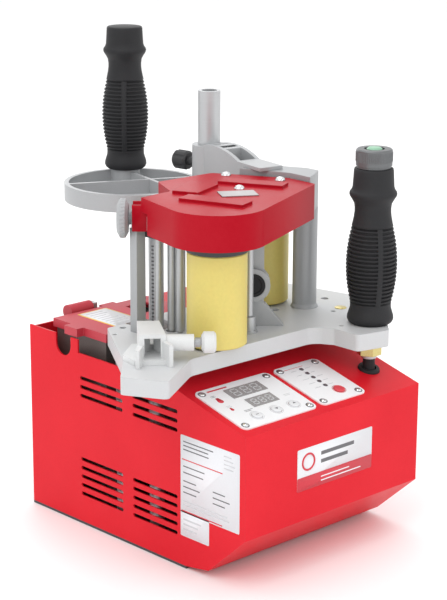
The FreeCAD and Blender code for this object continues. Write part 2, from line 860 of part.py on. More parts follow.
def build_bearing_block():
    """Black block under the head that holds the tops of the glue and feed shafts."""
    low = f"({HEAD_LOW} - blockHeight)"
    outer = box("BlockBody", "26", "36", "blockHeight", f"{FEED_X} - 3", "glueY - 12", low)
    holes = [
        rod("BlockGlueHole", "2.5 + runClearance", "blockHeight * 2", "glueX", "glueY", f"{low} - 1"),
        rod("BlockFeedHole", "2.5 + runClearance", "blockHeight * 2", FEED_X, FEED_Y, f"{low} - 1"),
    ]
    piece(cut("bearing_block", outer, *holes), "bearing_block")


# ---------------------------------------------------------------- head

def cover_outline(inset):
    """The cover in plan, moved in by the inset."""
    radius = f"(coverArc - {inset})"
    tangent_x = f"(frontRollerX + {radius} * sin(coverEdgeAngle))"
    tangent_y = f"(frontRollerY - {radius} * cos(coverEdgeAngle))"
    right_x = f"(coverRightX - {inset})"
    left_x = f"(frontRollerX - {radius} * cos(14))"
    left_y = f"(frontRollerY + {radius} * sin(14))"
    return [
        (left_x, left_y, radius),
        (tangent_x, tangent_y),
        (right_x, f"{tangent_y} + ({right_x} - {tangent_x}) * tan(coverEdgeAngle)"),
        (f"coverRightX + 1 - {inset}", "rearRollerY - 34.5"),
        (f"coverRightX - 31 - {inset} * 0.6", f"rearRollerY + 22.5 - {inset}"),
        (f"coverRightX - 87 + {inset} * 0.6", f"rearRollerY + 25.5 - {inset}"),
        (f"coverRightX - 104 + {inset} * 0.6", f"rearRollerY - 8.5 - {inset}"),
        (f"frontRollerX - 25 + {inset}", f"rearRollerY - 10.5 - {inset}"),
    ]


COVER_SCREWS = [
    ("coverRightX - 29", "rearRollerY + 7.5"),
    ("coverRightX - 11", "rearRollerY - 36.5"),
    ("coverRightX - 58", "rearRollerY - 38"),
]

EAR_END_X = "(earX + earLength * cos(wheelAngle))"
EAR_END_Y = "(earY + earLength * sin(wheelAngle))"
WHEEL_Z = f"({HEAD_LOW} + 7)"


def build_head_casting():
    """Grey casting over the rollers: a slab under the cover, a left ear on its post, a high right end."""
    body = doc.addObject("PartDesign::Body", "HeadBody")
    slab = new_sketch(body, "HeadSlab", "XY_Plane", HEAD_LOW)
    outline(slab, cover_outline("(coverWall + 0.5)"))
    pad(body, slab, "headThickness")
    end = new_sketch(body, "HeadEnd", "XY_Plane", HEAD_LOW)
    outline(end, [
        ("coverRightX + 1.6", "columnY - 21"),
        ("columnX - 3", "columnY - 13"),
        ("columnX + 8", "columnY - 6"),
        ("columnX + 8", "columnY + 8"),
        ("armEndX + armWidth / 2", "armEndY + 10"),
        ("armEndX - 14", "armEndY + 14"),
        ("coverRightX + 2.5", "rearRollerY - 34.5"),
    ])
    pad(body, end, "headEndRise")
    # low bridge under the cover's skirt, between the slab and the high end
    bridge = new_sketch(body, "HeadBridge", "XY_Plane", HEAD_LOW)
    outline(bridge, [
        ("coverRightX - 8", "columnY - 18"),
        ("coverRightX + 4", "columnY - 18"),
        ("coverRightX + 4", "columnY + 2"),
        ("armEndX - 12", "armEndY + 12"),
        ("armEndX - 24", "armEndY + 4"),
    ])
    pad(body, bridge, "headThickness")
    ear = new_sketch(body, "HeadEar", "XY_Plane", HEAD_LOW)
    outline(ear, slanted_bar("earX", "earY", "earLength", "earWidth", "wheelAngle"))
    pad(body, ear, "14")
    # the narrow post at the left is cast on and stands on the plate
    post = new_sketch(body, "HeadPost", "XY_Plane", PLATE_TOP)
    outline(post, [
        ("postX - postLength / 2", "postY - postWidth / 2"),
        ("postX + postLength / 2", "postY - postWidth / 2"),
        ("postX + postLength / 2", "postY + postWidth / 2"),
        ("postX - postLength / 2", "postY + postWidth / 2"),
    ])
    pad(body, post, f"{HEAD_LOW} - {PLATE_TOP}")
    bosses = new_sketch(body, "HeadBosses", "XY_Plane", HEAD_TOP)
    for x, y in COVER_SCREWS:
        ring(bosses, x, y, "3.2")
    pad(body, bosses, f"{COVER_TOP} - coverWall - {HEAD_TOP}")
    taps = new_sketch(body, "HeadTaps", "XY_Plane", f"{COVER_TOP}")
    for x, y in COVER_SCREWS:
        ring(taps, x, y, "1.6")
    pocket(body, taps, "coverWall + 9")
    seats = new_sketch(body, "HeadSeats", "XY_Plane", f"{HEAD_TOP} + 0.1")
    for x, y in (("frontRollerX", "frontRollerY"), ("rearRollerX", "rearRollerY")):
        ring(seats, x, y, "axleRadius + 0.05")
    pocket(body, seats, "headThickness + 1")
    bore = rod("WheelBore", "wheelScrew + 0.2", "14")
    point_along(bore, f"{EAR_END_X} + cos(wheelAngle)", f"{EAR_END_Y} + sin(wheelAngle)", WHEEL_Z,
                "wheelAngle + 180")
    piece(cut("head_casting", body, bore), "head_casting")


def build_right_column():
    """The round column at the right, which carries the high end of the head."""
    height = f"({HEAD_LOW} - {PLATE_TOP})"
    column = new_body("right_column")
    turned(column, [
        ("0", "0"),
        ("columnRadius + 1.5", "0"),
        ("columnRadius", "3"),
        ("columnRadius", height),
        ("0", height),
    ])
    place(column, "columnX", "columnY", PLATE_TOP)


def build_head_cover():
    """Red cover: a shallow cap with raised ribs, a window and an ear at its left."""
    body = new_body("head_cover")
    outer = new_sketch(body, "CoverOuter", "XY_Plane", COVER_LOW)
    corners = cover_outline("0")
    outline(outer, corners)
    feature = pad(body, outer, "coverHeight")
    feature = round_upright(body, feature, [corners[index] for index in (2, 3, 4, 5, 6)], "4")
    inner = new_sketch(body, "CoverInner", "XY_Plane", COVER_LOW)
    outline(inner, cover_outline("coverWall"))
    pocket(body, inner, "coverHeight - coverWall", reverse=True)
    # gap in the skirt where the casting's ear and right end come out
    gap = new_sketch(body, "CoverGap", "XY_Plane", COVER_LOW)
    outline(gap, [
        ("coverRightX - coverWall - 0.9", "columnY - 22.5"),
        ("coverRightX + 5", "columnY - 22.5"),
        ("coverRightX + 5", "rearRollerY + 12"),
        ("coverRightX - 21", "rearRollerY + 20"),
        ("coverRightX - coverWall - 27", "rearRollerY + 11.8"),
        ("coverRightX - coverWall - 1.2", "rearRollerY - 34.5"),
    ])
    pocket(body, gap, "coverHeight - coverWall", reverse=True)
    ear_gap = new_sketch(body, "CoverEarGap", "XY_Plane", COVER_LOW)
    outline(ear_gap, [
        ("frontRollerX - 40", "rearRollerY - 20"),
        ("coverRightX - 88", "rearRollerY - 20"),
        ("coverRightX - 88", "rearRollerY + 12"),
        ("frontRollerX - 40", "rearRollerY + 12"),
    ])
    pocket(body, ear_gap, "16.5", reverse=True)
    ribs = new_sketch(body, "CoverRibs", "XY_Plane", COVER_TOP)
    for corners in COVER_RIBS:
        outline(ribs, corners)
    pad(body, ribs, "coverRib")
    holes = new_sketch(body, "CoverHoles", "XY_Plane", f"{COVER_TOP} + coverRib")
    for x, y in COVER_SCREWS:
        ring(holes, x, y, "1.6")
    pocket(body, holes, "coverWall + coverRib + 0.2")
    return body


def slanted_bar(x, y, length, width, heading):
    """Corners of a bar in plan whose middle line starts at x, y and runs along a heading."""
    along_x = f"cos({heading})"
    along_y = f"sin({heading})"
    return [
        (f"{x} + {width} / 2 * {along_y}", f"{y} - {width} / 2 * {along_x}"),
        (f"{x} + {length} * {along_x} + {width} / 2 * {along_y}",
         f"{y} + {length} * {along_y} - {width} / 2 * {along_x}"),
        (f"{x} + {length} * {along_x} - {width} / 2 * {along_y}",
         f"{y} + {length} * {along_y} + {width} / 2 * {along_x}"),
        (f"{x} - {width} / 2 * {along_y}", f"{y} + {width} / 2 * {along_x}"),
    ]


COVER_RIBS = [
    slanted_bar("coverRightX - 115", "rearRollerY - 36", "54", "17", "-70"),
    slanted_bar("coverRightX - 50.5", "rearRollerY - 9", "54", "15", "-63"),
    [
        ("coverRightX - 108", "rearRollerY - 15"),
        ("coverRightX - 99", "rearRollerY - 34.5"),
        ("coverRightX - 65", "rearRollerY - 21.5"),
        ("coverRightX - 72", "rearRollerY + 4"),
        ("coverRightX - 92", "rearRollerY - 7"),
    ],
]


def build_cover_window():
    """Plain metal plate let in to the top of the cover."""
    body = new_body("cover_window")
    sketch = new_sketch(body, "Window", "XY_Plane", COVER_TOP)
    outline(sketch, slanted_bar("coverRightX - 85", "rearRollerY - 44", "29", "19", "-31"))
    pad(body, sketch, "0.8")


def build_cover_screws():
    """Three bright dome-headed screws of the cover."""
    screws = []
    for index, (x, y) in enumerate(COVER_SCREWS):
        head = dome(f"CoverHead{index}", "4.2", "3.2", x, y, COVER_TOP)
        shank = rod(f"CoverShank{index}", "1.5", "9", x, y, f"{COVER_TOP} - 9")
        screws.append(fuse(f"CoverScrew{index}", head, shank))
    piece(group("cover_screws", *screws), "cover_screws")


def build_thumb_wheel():
    """Knurled wheel on a short screw at the left ear."""
    body = new_body("thumb_wheel")
    turned(body, [
        ("0", "-wheelThickness"),
        ("wheelRadius - 5", "-wheelThickness"),
        ("wheelRadius - 1", "-wheelThickness * 0.75", "wheelThickness / 2"),
        ("wheelRadius - 1", "-wheelThickness * 0.25"),
        ("wheelRadius - 5", "0"),
        ("wheelScrew + 2", "0"),
        ("wheelScrew + 2", "2"),
        ("wheelScrew", "2"),
        ("wheelScrew", "10"),
        ("0", "10"),
    ])
    point_along(body, f"{EAR_END_X} + (2 + wheelGap) * cos(wheelAngle)",
                f"{EAR_END_Y} + (2 + wheelGap) * sin(wheelAngle)", WHEEL_Z, "wheelAngle + 180")
    sketch = new_sketch(body, "WheelKnurl", "XY_Plane", "1")
    ring(sketch, "wheelRadius + 0.6", "0", "1.5")
    feature = pocket(body, sketch, "wheelThickness + 2")
    circle_of(body, feature, sketch, 30)


# ---------------------------------------------------------------- support bracket

def build_support_bracket():
    """Light bracket between the rollers: a post with a flared foot and a round bearing boss."""
    height = f"({HEAD_LOW} - {PLATE_TOP})"
    post = box("BracketPost", "bracketWidth", "bracketDepth", height)
    body = doc.addObject("Part::Wedge", "BracketFoot")
    bind(body, Xmin="0", Xmax="16", Ymin="0", Ymax="18", Zmin="-bracketDepth / 2", Zmax="bracketDepth / 2",
         X2min="0", X2max="1", Z2min="-bracketDepth / 2", Z2max="bracketDepth / 2")
    place(body, "bracketWidth / 2", "0", "0", (1, 0, 0), "90")
    boss = rod("BracketBoss", "bossRadius", "bracketDepth + 4")
    point_along(boss, "-3", "-bracketDepth / 2 - 4", "bossHeight", "90")
    blank = fuse("BracketBlank", post, body, boss)
    bore = rod("BracketBore", "bossRadius - 4", "bracketDepth + 8")
    point_along(bore, "-3", "-bracketDepth / 2 - 5", "bossHeight", "90")
    bracket = piece(cut("support_bracket", blank, bore), "support_bracket")
    place(bracket, "bracketX", "bracketY", PLATE_TOP, (0, 0, 1), "bracketAngle")
    bearing = new_body("bracket_bearing")
    turned(bearing, [
        ("0", "0.8"),
        ("bossRadius - 7", "0.8"),
        ("bossRadius - 6.4", "0"),
        ("bossRadius - 4.1", "0"),
        ("bossRadius - 4.1", "bracketDepth + 3"),
        ("0", "bracketDepth + 3"),
    ])
    reach = "(bracketDepth / 2 + 3.6)"
    x = f"bracketX - 3 * cos(bracketAngle) + {reach} * sin(bracketAngle)"
    y = f"bracketY - 3 * sin(bracketAngle) - {reach} * cos(bracketAngle)"
    point_along(bearing, x, y, f"{PLATE_TOP} + bossHeight", "bracketAngle + 90")
    shaft = new_body("pivot_shaft")
    turned(shaft, [
        ("0", "-plateThickness"),
        ("shaftRadius", "-plateThickness"),
        ("shaftRadius", "0"),
        ("collarRadius + 1.2", "0"),
        ("collarRadius + 1.2", "2"),
        ("collarRadius", "2"),
        ("collarRadius", "13"),
        ("shaftRadius", "14"),
        ("shaftRadius", height),
        ("0", height),
    ])
    place(shaft, "shaftX", "shaftY", PLATE_TOP)


# ---------------------------------------------------------------- tape guide

def build_tape_guide():
    """White guide block: a funnel mouth, a straight channel and a boss for its clamp."""
    body = new_body("tape_guide")
    foot = new_sketch(body, "GuideFoot")
    outline(foot, [
        ("0", "-mouthWidth / 2 - 4"),
        ("guideLength", "-mouthWidth / 2 - 4"),
        ("guideLength", "mouthWidth / 2 + 9"),
        ("16", "mouthWidth / 2 + 16"),
        ("0", "mouthWidth / 2 + 8"),
    ])
    pad(body, foot, "4")
    walls = new_sketch(body, "GuideWalls", "XY_Plane", "4")
    outline(walls, [
        ("6", "-mouthWidth / 2 - 4"),
        ("guideLength", "-mouthWidth / 2"),
        ("guideLength", "mouthWidth / 2 + 5"),
        ("6", "mouthWidth / 2 + 4"),
    ])
    pad(body, walls, "guideHeight - 4")
    lip = new_sketch(body, "GuideLip", "XY_Plane", "0")
    outline(lip, [
        ("-5", "-mouthWidth / 2 - 9"),
        ("8", "-mouthWidth / 2 - 4"),
        ("8", "-mouthWidth / 2"),
        ("-5", "-mouthWidth / 2 - 6"),
    ])
    pad(body, lip, "guideHeight - 5")
    flare = new_sketch(body, "GuideFlare", "XY_Plane", "0")
    outline(flare, [
        ("-9", "mouthWidth / 2 + 4"),
        ("8", "mouthWidth / 2"),
        ("8", "mouthWidth / 2 + 5"),
        ("-7", "mouthWidth / 2 + 7"),
    ])
    pad(body, flare, "guideHeight - 8")
    channel = new_sketch(body, "GuideChannel", "XY_Plane", "4")
    outline(channel, [
        ("-12", "-mouthWidth / 2"),
        ("18", "-mouthWidth / 2"),
        ("26", "-1.5"),
        ("guideLength + 1", "-1.5"),
        ("guideLength + 1", "1.5"),
        ("26", "1.5"),
        ("18", "mouthWidth / 2"),
        ("-12", "mouthWidth / 2"),
    ])
    pocket(body, channel, "mouthHeight", reverse=True)
    boss = new_sketch(body, "GuideBoss", "XZ_Plane", "mouthWidth / 2 + 3")
    ring(boss, "13", "guideHeight - guideBossRadius - 2", "guideBossRadius")
    pad(body, boss, "guideBossLength")
    bore = new_sketch(body, "GuideBore", "XZ_Plane", "mouthWidth / 2 + 3 + guideBossLength")
    ring(bore, "13", "guideHeight - guideBossRadius - 2", "2.1")
    pocket(body, bore, "guideBossLength - 4")
    place(body, "guideX", "guideY", PLATE_TOP, (0, 0, 1), "guideAngle")


GUIDE_AXIS_Z = f"({PLATE_TOP} + guideHeight - guideBossRadius - 2)"


def guide_point(along, across):
    """Plan position of a point given along and across the guide's channel."""
    return (
        f"guideX + ({along}) * cos(guideAngle) - ({across}) * sin(guideAngle)",
        f"guideY + ({along}) * sin(guideAngle) + ({across}) * cos(guideAngle)",
    )


def build_guide_clamp():
    """The guide's threaded rod with its spring, and the white knob that turns on it."""
    end = "(-mouthWidth / 2 - 3 - guideBossLength)"
    x, y = guide_point("13", f"{end} + 15")
    threaded = rod("guide_rod", "2", "15 + 5 + guideKnobLength - 2")
    piece(point_along(threaded, x, y, GUIDE_AXIS_Z, "guideAngle - 90"), "guide_rod")
    coil = doc.addObject("Part::Helix", "SpringPath")
    bind(coil, Pitch="1.5", Height="4.4", Radius="3.4")
    wire = doc.addObject("Part::Circle", "SpringWire")
    bind(wire, Radius="0.45")
    quarter_turn = FreeCAD.Rotation(FreeCAD.Vector(1, 0, 0), 90)
    wire.Placement = FreeCAD.Placement(FreeCAD.Vector(3.4, 0, 0), quarter_turn)
    spring = doc.addObject("Part::Sweep", "guide_spring")
    spring.Sections = [wire]
    spring.Spine = coil
    spring.Solid = True
    spring.Frenet = True
    x, y = guide_point("13", f"{end} - 0.6")
    piece(point_along(spring, x, y, GUIDE_AXIS_Z, "guideAngle - 90"), "guide_spring")
    knob = new_body("guide_knob")
    turned(knob, [
        ("2.05", "0"),
        ("guideKnobRadius - 3", "0"),
        ("guideKnobRadius", "2"),
        ("guideKnobRadius", "guideKnobLength - 1.5"),
        ("guideKnobRadius - 1.5", "guideKnobLength"),
        ("0", "guideKnobLength"),
        ("0", "guideKnobLength - 1.5"),
        ("2.05", "guideKnobLength - 1.5"),
    ])
    x, y = guide_point("13", f"{end} - 5.4")
    point_along(knob, x, y, GUIDE_AXIS_Z, "guideAngle - 90")


# ---------------------------------------------------------------- handles

def grip_profile(closed_top):
    """Half section of a rubber grip: flared base, swollen middle, waist and collar bulge."""
    bore = "(handleTube + 0.1)"
    reach = "gripRadius"
    top = [
        (f"{reach} * 0.80", "gripLength"),
        ("0", "gripLength"),
        ("0", "gripLength - 6"),
        (bore, "gripLength - 6"),
    ] if closed_top else [
        (f"{reach} * 0.80", "gripLength"),
        (bore, "gripLength"),
    ]
    return [
        (bore, "0"),
        (f"{reach} * 0.85", "0"),
        (f"{reach} * 0.98", "gripLength * 0.025"),
        (f"{reach} * 0.98", "gripLength * 0.045", "-gripRadius * 0.55"),
        (f"{reach} * 0.85", "gripLength * 0.12", "gripLength * 1.05"),
        (f"{reach} * 0.85", "gripLength * 0.645"),
        (f"{reach} * 0.76", "gripLength * 0.737"),
        (f"{reach} * 0.80", "gripLength * 0.785"),
        (f"{reach} * 1.00", "gripLength * 0.825"),
        (f"{reach} * 1.00", "gripLength * 0.845"),
        (f"{reach} * 0.87", "gripLength * 0.875"),
        (f"{reach} * 0.83", "gripLength * 0.985"),
        *top,
    ]


def build_grip(label, x, y, z, closed_top):
    """One ribbed rubber grip."""
    body = new_body(label)
    turned(body, grip_profile(closed_top))
    low = "(gripLength * 0.135)"
    pitch = "(gripLength * 0.51 / 20)"
    profile = [
        ("gripRadius * 0.80", low),
        ("gripRadius * 1.1", low),
        ("gripRadius * 1.1", f"{low} + {pitch} * 0.42"),
        ("gripRadius * 0.80", f"{low} + {pitch} * 0.42"),
    ]
    feature = grooved(body, profile, "Rib")
    row_of(body, feature, feature.Profile[0], f"{pitch} * 19", 20)
    place(body, x, y, z)


def build_right_handle():
    """Right handle: a threaded tube through the plate with its nut, grip, collar and button."""
    build_grip("right_grip", "rightHandleX", "rightHandleY", PLATE_TOP, False)
    top = f"({PLATE_TOP} + gripLength)"
    low = f"({PLATE_LOW} - nutHeight)"
    outer = rod("HandleOuter", "handleTube", f"{top} - {low}", "rightHandleX", "rightHandleY", low)
    inner = rod("HandleInner", "handleBore", f"{top} - {low} + 2",
                "rightHandleX", "rightHandleY", f"{low} - 1")
    piece(cut("right_handle_tube", outer, inner), "right_handle_tube")
    hexagon = prism("NutHexagon", "nutFlats / sqrt(3)", "nutHeight - 6", 6, "rightHandleX", "rightHandleY",
                    f"{PLATE_LOW} - nutHeight + 3")
    washer = rod("NutWasher", "nutFlats / 2 + 1", "3", "rightHandleX", "rightHandleY", f"{PLATE_LOW} - 3")
    thread = rod("NutThread", "handleTube + 0.05", "nutHeight * 2",
                 "rightHandleX", "rightHandleY", f"{low} - 1")
    piece(cut("handle_nut", fuse("NutBlank", hexagon, washer), thread), "handle_nut")
    collar = new_body("handle_collar")
    turned(collar, [
        ("handleBore + 3", "0"),
        ("ringRadius - 1", "0"),
        ("ringRadius - 1", "2"),
        ("ringRadius", "2"),
        ("ringRadius", "ringHeight - 1"),
        ("ringRadius - 1", "ringHeight"),
        ("buttonRadius + 2", "ringHeight"),
        ("buttonRadius + 2", "ringHeight - 2.5"),
        ("buttonRadius + 0.3", "ringHeight - 2.5"),
        ("buttonRadius + 0.3", "4"),
        ("handleBore + 3", "4"),
    ])
    place(collar, "rightHandleX", "rightHandleY", f"{top} + 0.1")
    # the slope's height under the handle
    slope_z = f"(frontHeight + (rightHandleY + bodyDepth / 2) * tan({SLOPE_ANGLE}))"
    sleeve_low = f"({slope_z} - 6)"
    sleeve = rod("wire_sleeve", "handleBore + 0.9", f"{low} - {sleeve_low}", "rightHandleX", "rightHandleY",
                 sleeve_low)
    piece(sleeve, "wire_sleeve")
    grommet = new_body("cable_grommet")
    turned(grommet, [
        ("handleBore + 1.8", "-wall"),
        ("handleTube + 0.7", "-wall"),
        ("handleTube + 0.7", "0.1"),
        ("handleTube + 3.2", "0.1"),
        ("handleTube + 2.6", "2.0"),
        ("handleBore + 1.8", "2.4"),
    ])
    place(grommet, "rightHandleX", "rightHandleY", slope_z, (1, 0, 0), SLOPE_ANGLE)
    button = new_body("start_button")
    turned(button, [
        ("0", "-7"),
        ("buttonRadius - 1", "-7"),
        ("buttonRadius - 1", "-6"),
        ("buttonRadius", "-6"),
        ("buttonRadius", "1"),
        ("buttonRadius - 1.5", "2.2"),
        ("0", "2.6"),
    ])
    place(button, "rightHandleX", "rightHandleY", f"{top} + ringHeight - 1")


# ---------------------------------------------------------------- sole

def build_sole():
    """Ring-shaped sole with a floor, a rim, ribs, and bosses for the tube and the left handle."""
    body = new_body("sole_plate")
    floor = new_sketch(body, "SoleFloor", "XY_Plane", "soleBottom")
    ring(floor, "soleX", "soleY", "soleRadius")
    pad(body, floor, "soleFloor")
    rim = new_sketch(body, "SoleRim", "XY_Plane", "soleBottom")
    ring(rim, "soleX", "soleY", "soleRadius")
    ring(rim, "soleX", "soleY", "soleRadius - soleWall")
    pad(body, rim, "soleHeight")
    for name, x, y, heading, length in (
        ("Cross", "leftHandleX", "leftHandleY", "-104", "100"),
        ("Chord", "soleX - soleRadius * 0.83", "soleY + soleRadius * 0.5", "-26", "soleRadius * 1.86"),
        ("Tie", "tubeX", "tubeY", "108", "52"),
    ):
        rib = new_sketch(body, "SoleRib" + name, "XY_Plane", "soleBottom")
        outline(rib, slanted_bar(x, y, length, "3.2", heading))
        pad(body, rib, "soleHeight")
    neck = new_sketch(body, "SoleNeck", "XY_Plane", "soleBottom")
    outline(neck, [
        ("tubeX - soleBoss", "tubeY"),
        ("tubeX + soleBoss", "tubeY"),
        ("soleX + soleRadius * 0.86", "soleY - soleRadius * 0.45"),
        ("soleX - soleRadius * 0.2", "soleY - soleRadius * 0.95"),
    ])
    pad(body, neck, "soleHeight - 4")
    for name, x, y, lift in (("Tube", "tubeX", "tubeY", "2"), ("Handle", "leftHandleX", "leftHandleY", "2")):
        boss = new_sketch(body, "SoleBoss" + name, "XY_Plane", "soleBottom")
        ring(boss, x, y, "soleBoss")
        pad(body, boss, f"soleHeight + {lift}")
    sockets = new_sketch(body, "SoleSockets", "XY_Plane", "soleBottom + soleHeight + 2")
    ring(sockets, "tubeX", "tubeY", "tubeRadius + 0.1")
    ring(sockets, "leftHandleX", "leftHandleY", "handleTube + 0.1")
    pocket(body, sockets, "soleHeight - 2")


def build_sole_fittings():
    """The tube that slides in the arm, and the left handle on its stud."""
    low = "(soleBottom + 4)"
    outer = rod("TubeOuter", "tubeRadius", f"tubeTop - {low}", "tubeX", "tubeY", low)
    inner = rod("TubeInner", "tubeBore", f"tubeTop - {low} + 2", "tubeX", "tubeY", f"{low} - 1")
    piece(cut("sole_tube", outer, inner), "sole_tube")
    base = "(soleBottom + soleHeight + 2)"
    build_grip("left_grip", "leftHandleX", "leftHandleY", base, True)
    stud = rod("left_handle_stud", "handleTube", f"{base} + gripLength - 6.5 - {low}", "leftHandleX",
               "leftHandleY", low)
    piece(stud, "left_handle_stud")


# ---------------------------------------------------------------- arm

ARM_LOW = "(soleBottom + soleHeight + 2 + armGap)"
ARM_TOP = f"({ARM_LOW} + armBossHeight)"


def build_support_arm():
    """Arched arm from the head to the clamp boss that holds the sole's tube."""
    body = doc.addObject("PartDesign::Body", "ArmBody")
    heading = math.degrees(math.atan2(num("armEndY - tubeY"), num("armEndX - tubeX")))
    reach = "sqrt((tubeX - armEndX) ^ 2 + (tubeY - armEndY) ^ 2)"
    side = new_sketch(body, "ArmSide", "XZ_Plane")
    outline(side, [
        ("0", f"{ARM_LOW}"),
        (f"{reach} - 13", f"{ARM_LOW}"),
        (f"{reach} - 13", f"{HEAD_END} + 0.05"),
        (f"{reach} + armWidth / 2", f"{HEAD_END} + 0.05"),
        (f"{reach} + armWidth / 2", f"{HEAD_END} + 3"),
        (f"{reach} - 22", f"{HEAD_END} + 3", f"{reach} * 1.15"),
        ("0", f"{ARM_TOP} + 3"),
    ])
    pad(body, side, "armWidth", midplane=True)
    boss = new_sketch(body, "ArmBoss", "XY_Plane", ARM_LOW)
    ring(boss, "0", "0", "armBossRadius")
    pad(body, boss, "armBossHeight + 3")
    for index, (start, length) in enumerate((("armBossRadius + 2", "17"), ("armBossRadius + 23", "22"))):
        hollow = new_sketch(body, f"ArmHollow{index}", "XY_Plane", f"{ARM_TOP} + 6")
        half = "(armWidth / 2 - 3.5)"
        outline(hollow, [
            (start, f"-{half}"),
            (f"{start} + {length}", f"-{half}"),
            (f"{start} + {length}", half),
            (start, half),
        ])
        pocket(body, hollow, "armBossHeight - 2")
    bore = new_sketch(body, "ArmBore", "XY_Plane", f"{ARM_TOP} + 6")
    ring(bore, "0", "0", "tubeRadius + runClearance")
    pocket(body, bore)
    place(body, "tubeX", "tubeY", "0", (0, 0, 1), str(heading))
    tap = rod("ArmTap", "clampScrew - 0.1 + runClearance", "armBossRadius + 3")
    point_along(tap, "tubeX", "tubeY", f"({ARM_LOW} + {ARM_TOP}) / 2", "clampAngle")
    piece(cut("support_arm", body, tap), "support_arm")


def build_clamp_knob():
    """Black knob on a set screw that presses on the sole's tube from the rear."""
    body = new_body("clamp_knob")
    turned(body, [
        ("0", "tubeRadius + 0.4"),
        ("clampScrew - 0.1", "tubeRadius + 0.4"),
        ("clampScrew - 0.1", "armBossRadius + 7"),
        ("clampKnobRadius - 1.5", "armBossRadius + 7"),
        ("clampKnobRadius", "armBossRadius + 9"),
        ("clampKnobRadius", "armBossRadius + 7 + clampKnobLength - 2"),
        ("clampKnobRadius - 2", "armBossRadius + 7 + clampKnobLength"),
        ("0", "armBossRadius + 7 + clampKnobLength"),
    ])
    sketch = new_sketch(body, "ClampFlute", "XY_Plane", "armBossRadius + 8 + clampKnobLength")
    ring(sketch, "clampKnobRadius + 1.2", "0", "2.2")
    feature = pocket(body, sketch, "clampKnobLength")
    circle_of(body, feature, sketch, 6)
    point_along(body, "tubeX", "tubeY", f"({ARM_LOW} + {ARM_TOP}) / 2", "clampAngle")


# ---------------------------------------------------------------- control panels

def on_slope(item, left, along, lift="0"):
    """Stand an object on the slope: left is its X, along its distance up the slope from the front."""
    x = left
    y = f"{FRONT} + ({along}) * cos({SLOPE_ANGLE}) - ({lift}) * sin({SLOPE_ANGLE})"
    z = f"frontHeight + ({along}) * sin({SLOPE_ANGLE}) + ({lift}) * cos({SLOPE_ANGLE})"
    return place(item, x, y, z, (1, 0, 0), SLOPE_ANGLE)


KEYS = [
    ("select_key", "displayWidth * 0.30", "panelLength * 0.20"),
    ("down_key", "displayWidth * 0.56", "panelLength * 0.20"),
    ("up_key", "displayWidth * 0.80", "panelLength * 0.20"),
]
STOP_X = "(indicatorWidth * 0.62)"
STOP_Y = "(panelLength * 0.22)"


def build_panels():
    """The two front plates with their windows, lamps, keys and screws."""
    screws = []
    for label, left, width in (
        ("display_panel", "displayLeft", "displayWidth"),
        ("indicator_panel", "indicatorLeft", "indicatorWidth"),
    ):
        body = new_body(label)
        sketch = new_sketch(body, label + "Outline")
        corners = [("0", "0"), (width, "0"), (width, "panelLength"), ("0", "panelLength")]
        outline(sketch, corners)
        feature = pad(body, sketch, "panelThickness")
        round_upright(body, feature, corners, "panelCorner")
        holes = new_sketch(body, label + "Holes", "XY_Plane", "panelThickness")
        keys = KEYS if label == "display_panel" else [("stop_key", STOP_X, STOP_Y)]
        for name, x, y in keys:
            ring(holes, x, y, "stopRadius + 0.3" if name == "stop_key" else "keyRadius + 0.3")
        for x in ("panelInset", f"{width} - panelInset"):
            for y in ("panelInset", "panelLength - panelInset"):
                ring(holes, x, y, "1.6")
                screw = sheet_screw(f"PanelScrew{len(screws)}")
                screws.append(on_slope(screw, f"{left} + {x}", f"panelFront + {y}", "panelThickness"))
        pocket(body, holes, "panelThickness")
        on_slope(body, left, "panelFront")
        for name, x, y in keys:
            radius = "stopRadius" if name == "stop_key" else "keyRadius"
            key = new_body(name)
            turned(key, [
                ("0", "keyTravel + 0.1"),
                (radius, "keyTravel + 0.1"),
                (radius, "panelThickness + 0.8"),
                (f"{radius} - 0.8", "panelThickness + 1.3"),
                ("0", "panelThickness + 1.3"),
            ])
            on_slope(key, f"{left} + {x}", f"panelFront + {y}")
    piece(group("panel_screws", *screws, *rear_screws()), "panel_screws")
    windows = []
    for index, (x, y, width, height) in enumerate((
        ("displayWidth * 0.54", "panelLength * 0.76", "displayWidth * 0.46", "panelLength * 0.22"),
        ("displayWidth * 0.56", "panelLength * 0.47", "displayWidth * 0.34", "panelLength * 0.20"),
    )):
        pane = box(f"Window{index}", width, height, "0.5")
        windows.append(on_slope(pane, f"displayLeft + {x} - {width} / 2", f"panelFront + {y} - {height} / 2",
                                "panelThickness"))
    piece(group("display_windows", *windows), "display_windows")
    lamps = []
    for index in range(5):
        lamp = dome(f"Lamp{index}", "1.5", "1.1")
        along = f"panelFront + panelLength * (0.84 - {index} * 0.115)"
        lamps.append(on_slope(lamp, "indicatorLeft + indicatorWidth * 0.5", along, "panelThickness"))
    piece(group("status_lamps", *lamps), "status_lamps")


def build_circuit_board():
    """Controller board on the pan's posts with its transformer, relays and connectors."""
    board = box("BoardSheet", "76", "64", "1.6", "boardX", "boardY", "panThickness + 8")
    top = "panThickness + 9.6"
    blocks = [
        box("Transformer", "30", "26", "24", "boardX - 20", "boardY - 12", top),
        box("Relay", "16", "12", "14", "boardX + 10", "boardY - 18", top),
        box("Connector", "30", "8", "9", "boardX + 16", "boardY + 25", top),
        box("HeatSink", "8", "26", "20", "boardX + 32", "boardY - 4", top),
    ]
    piece(fuse("circuit_board", board, *blocks), "circuit_board")


# ---------------------------------------------------------------- drive, glue pot and inlet

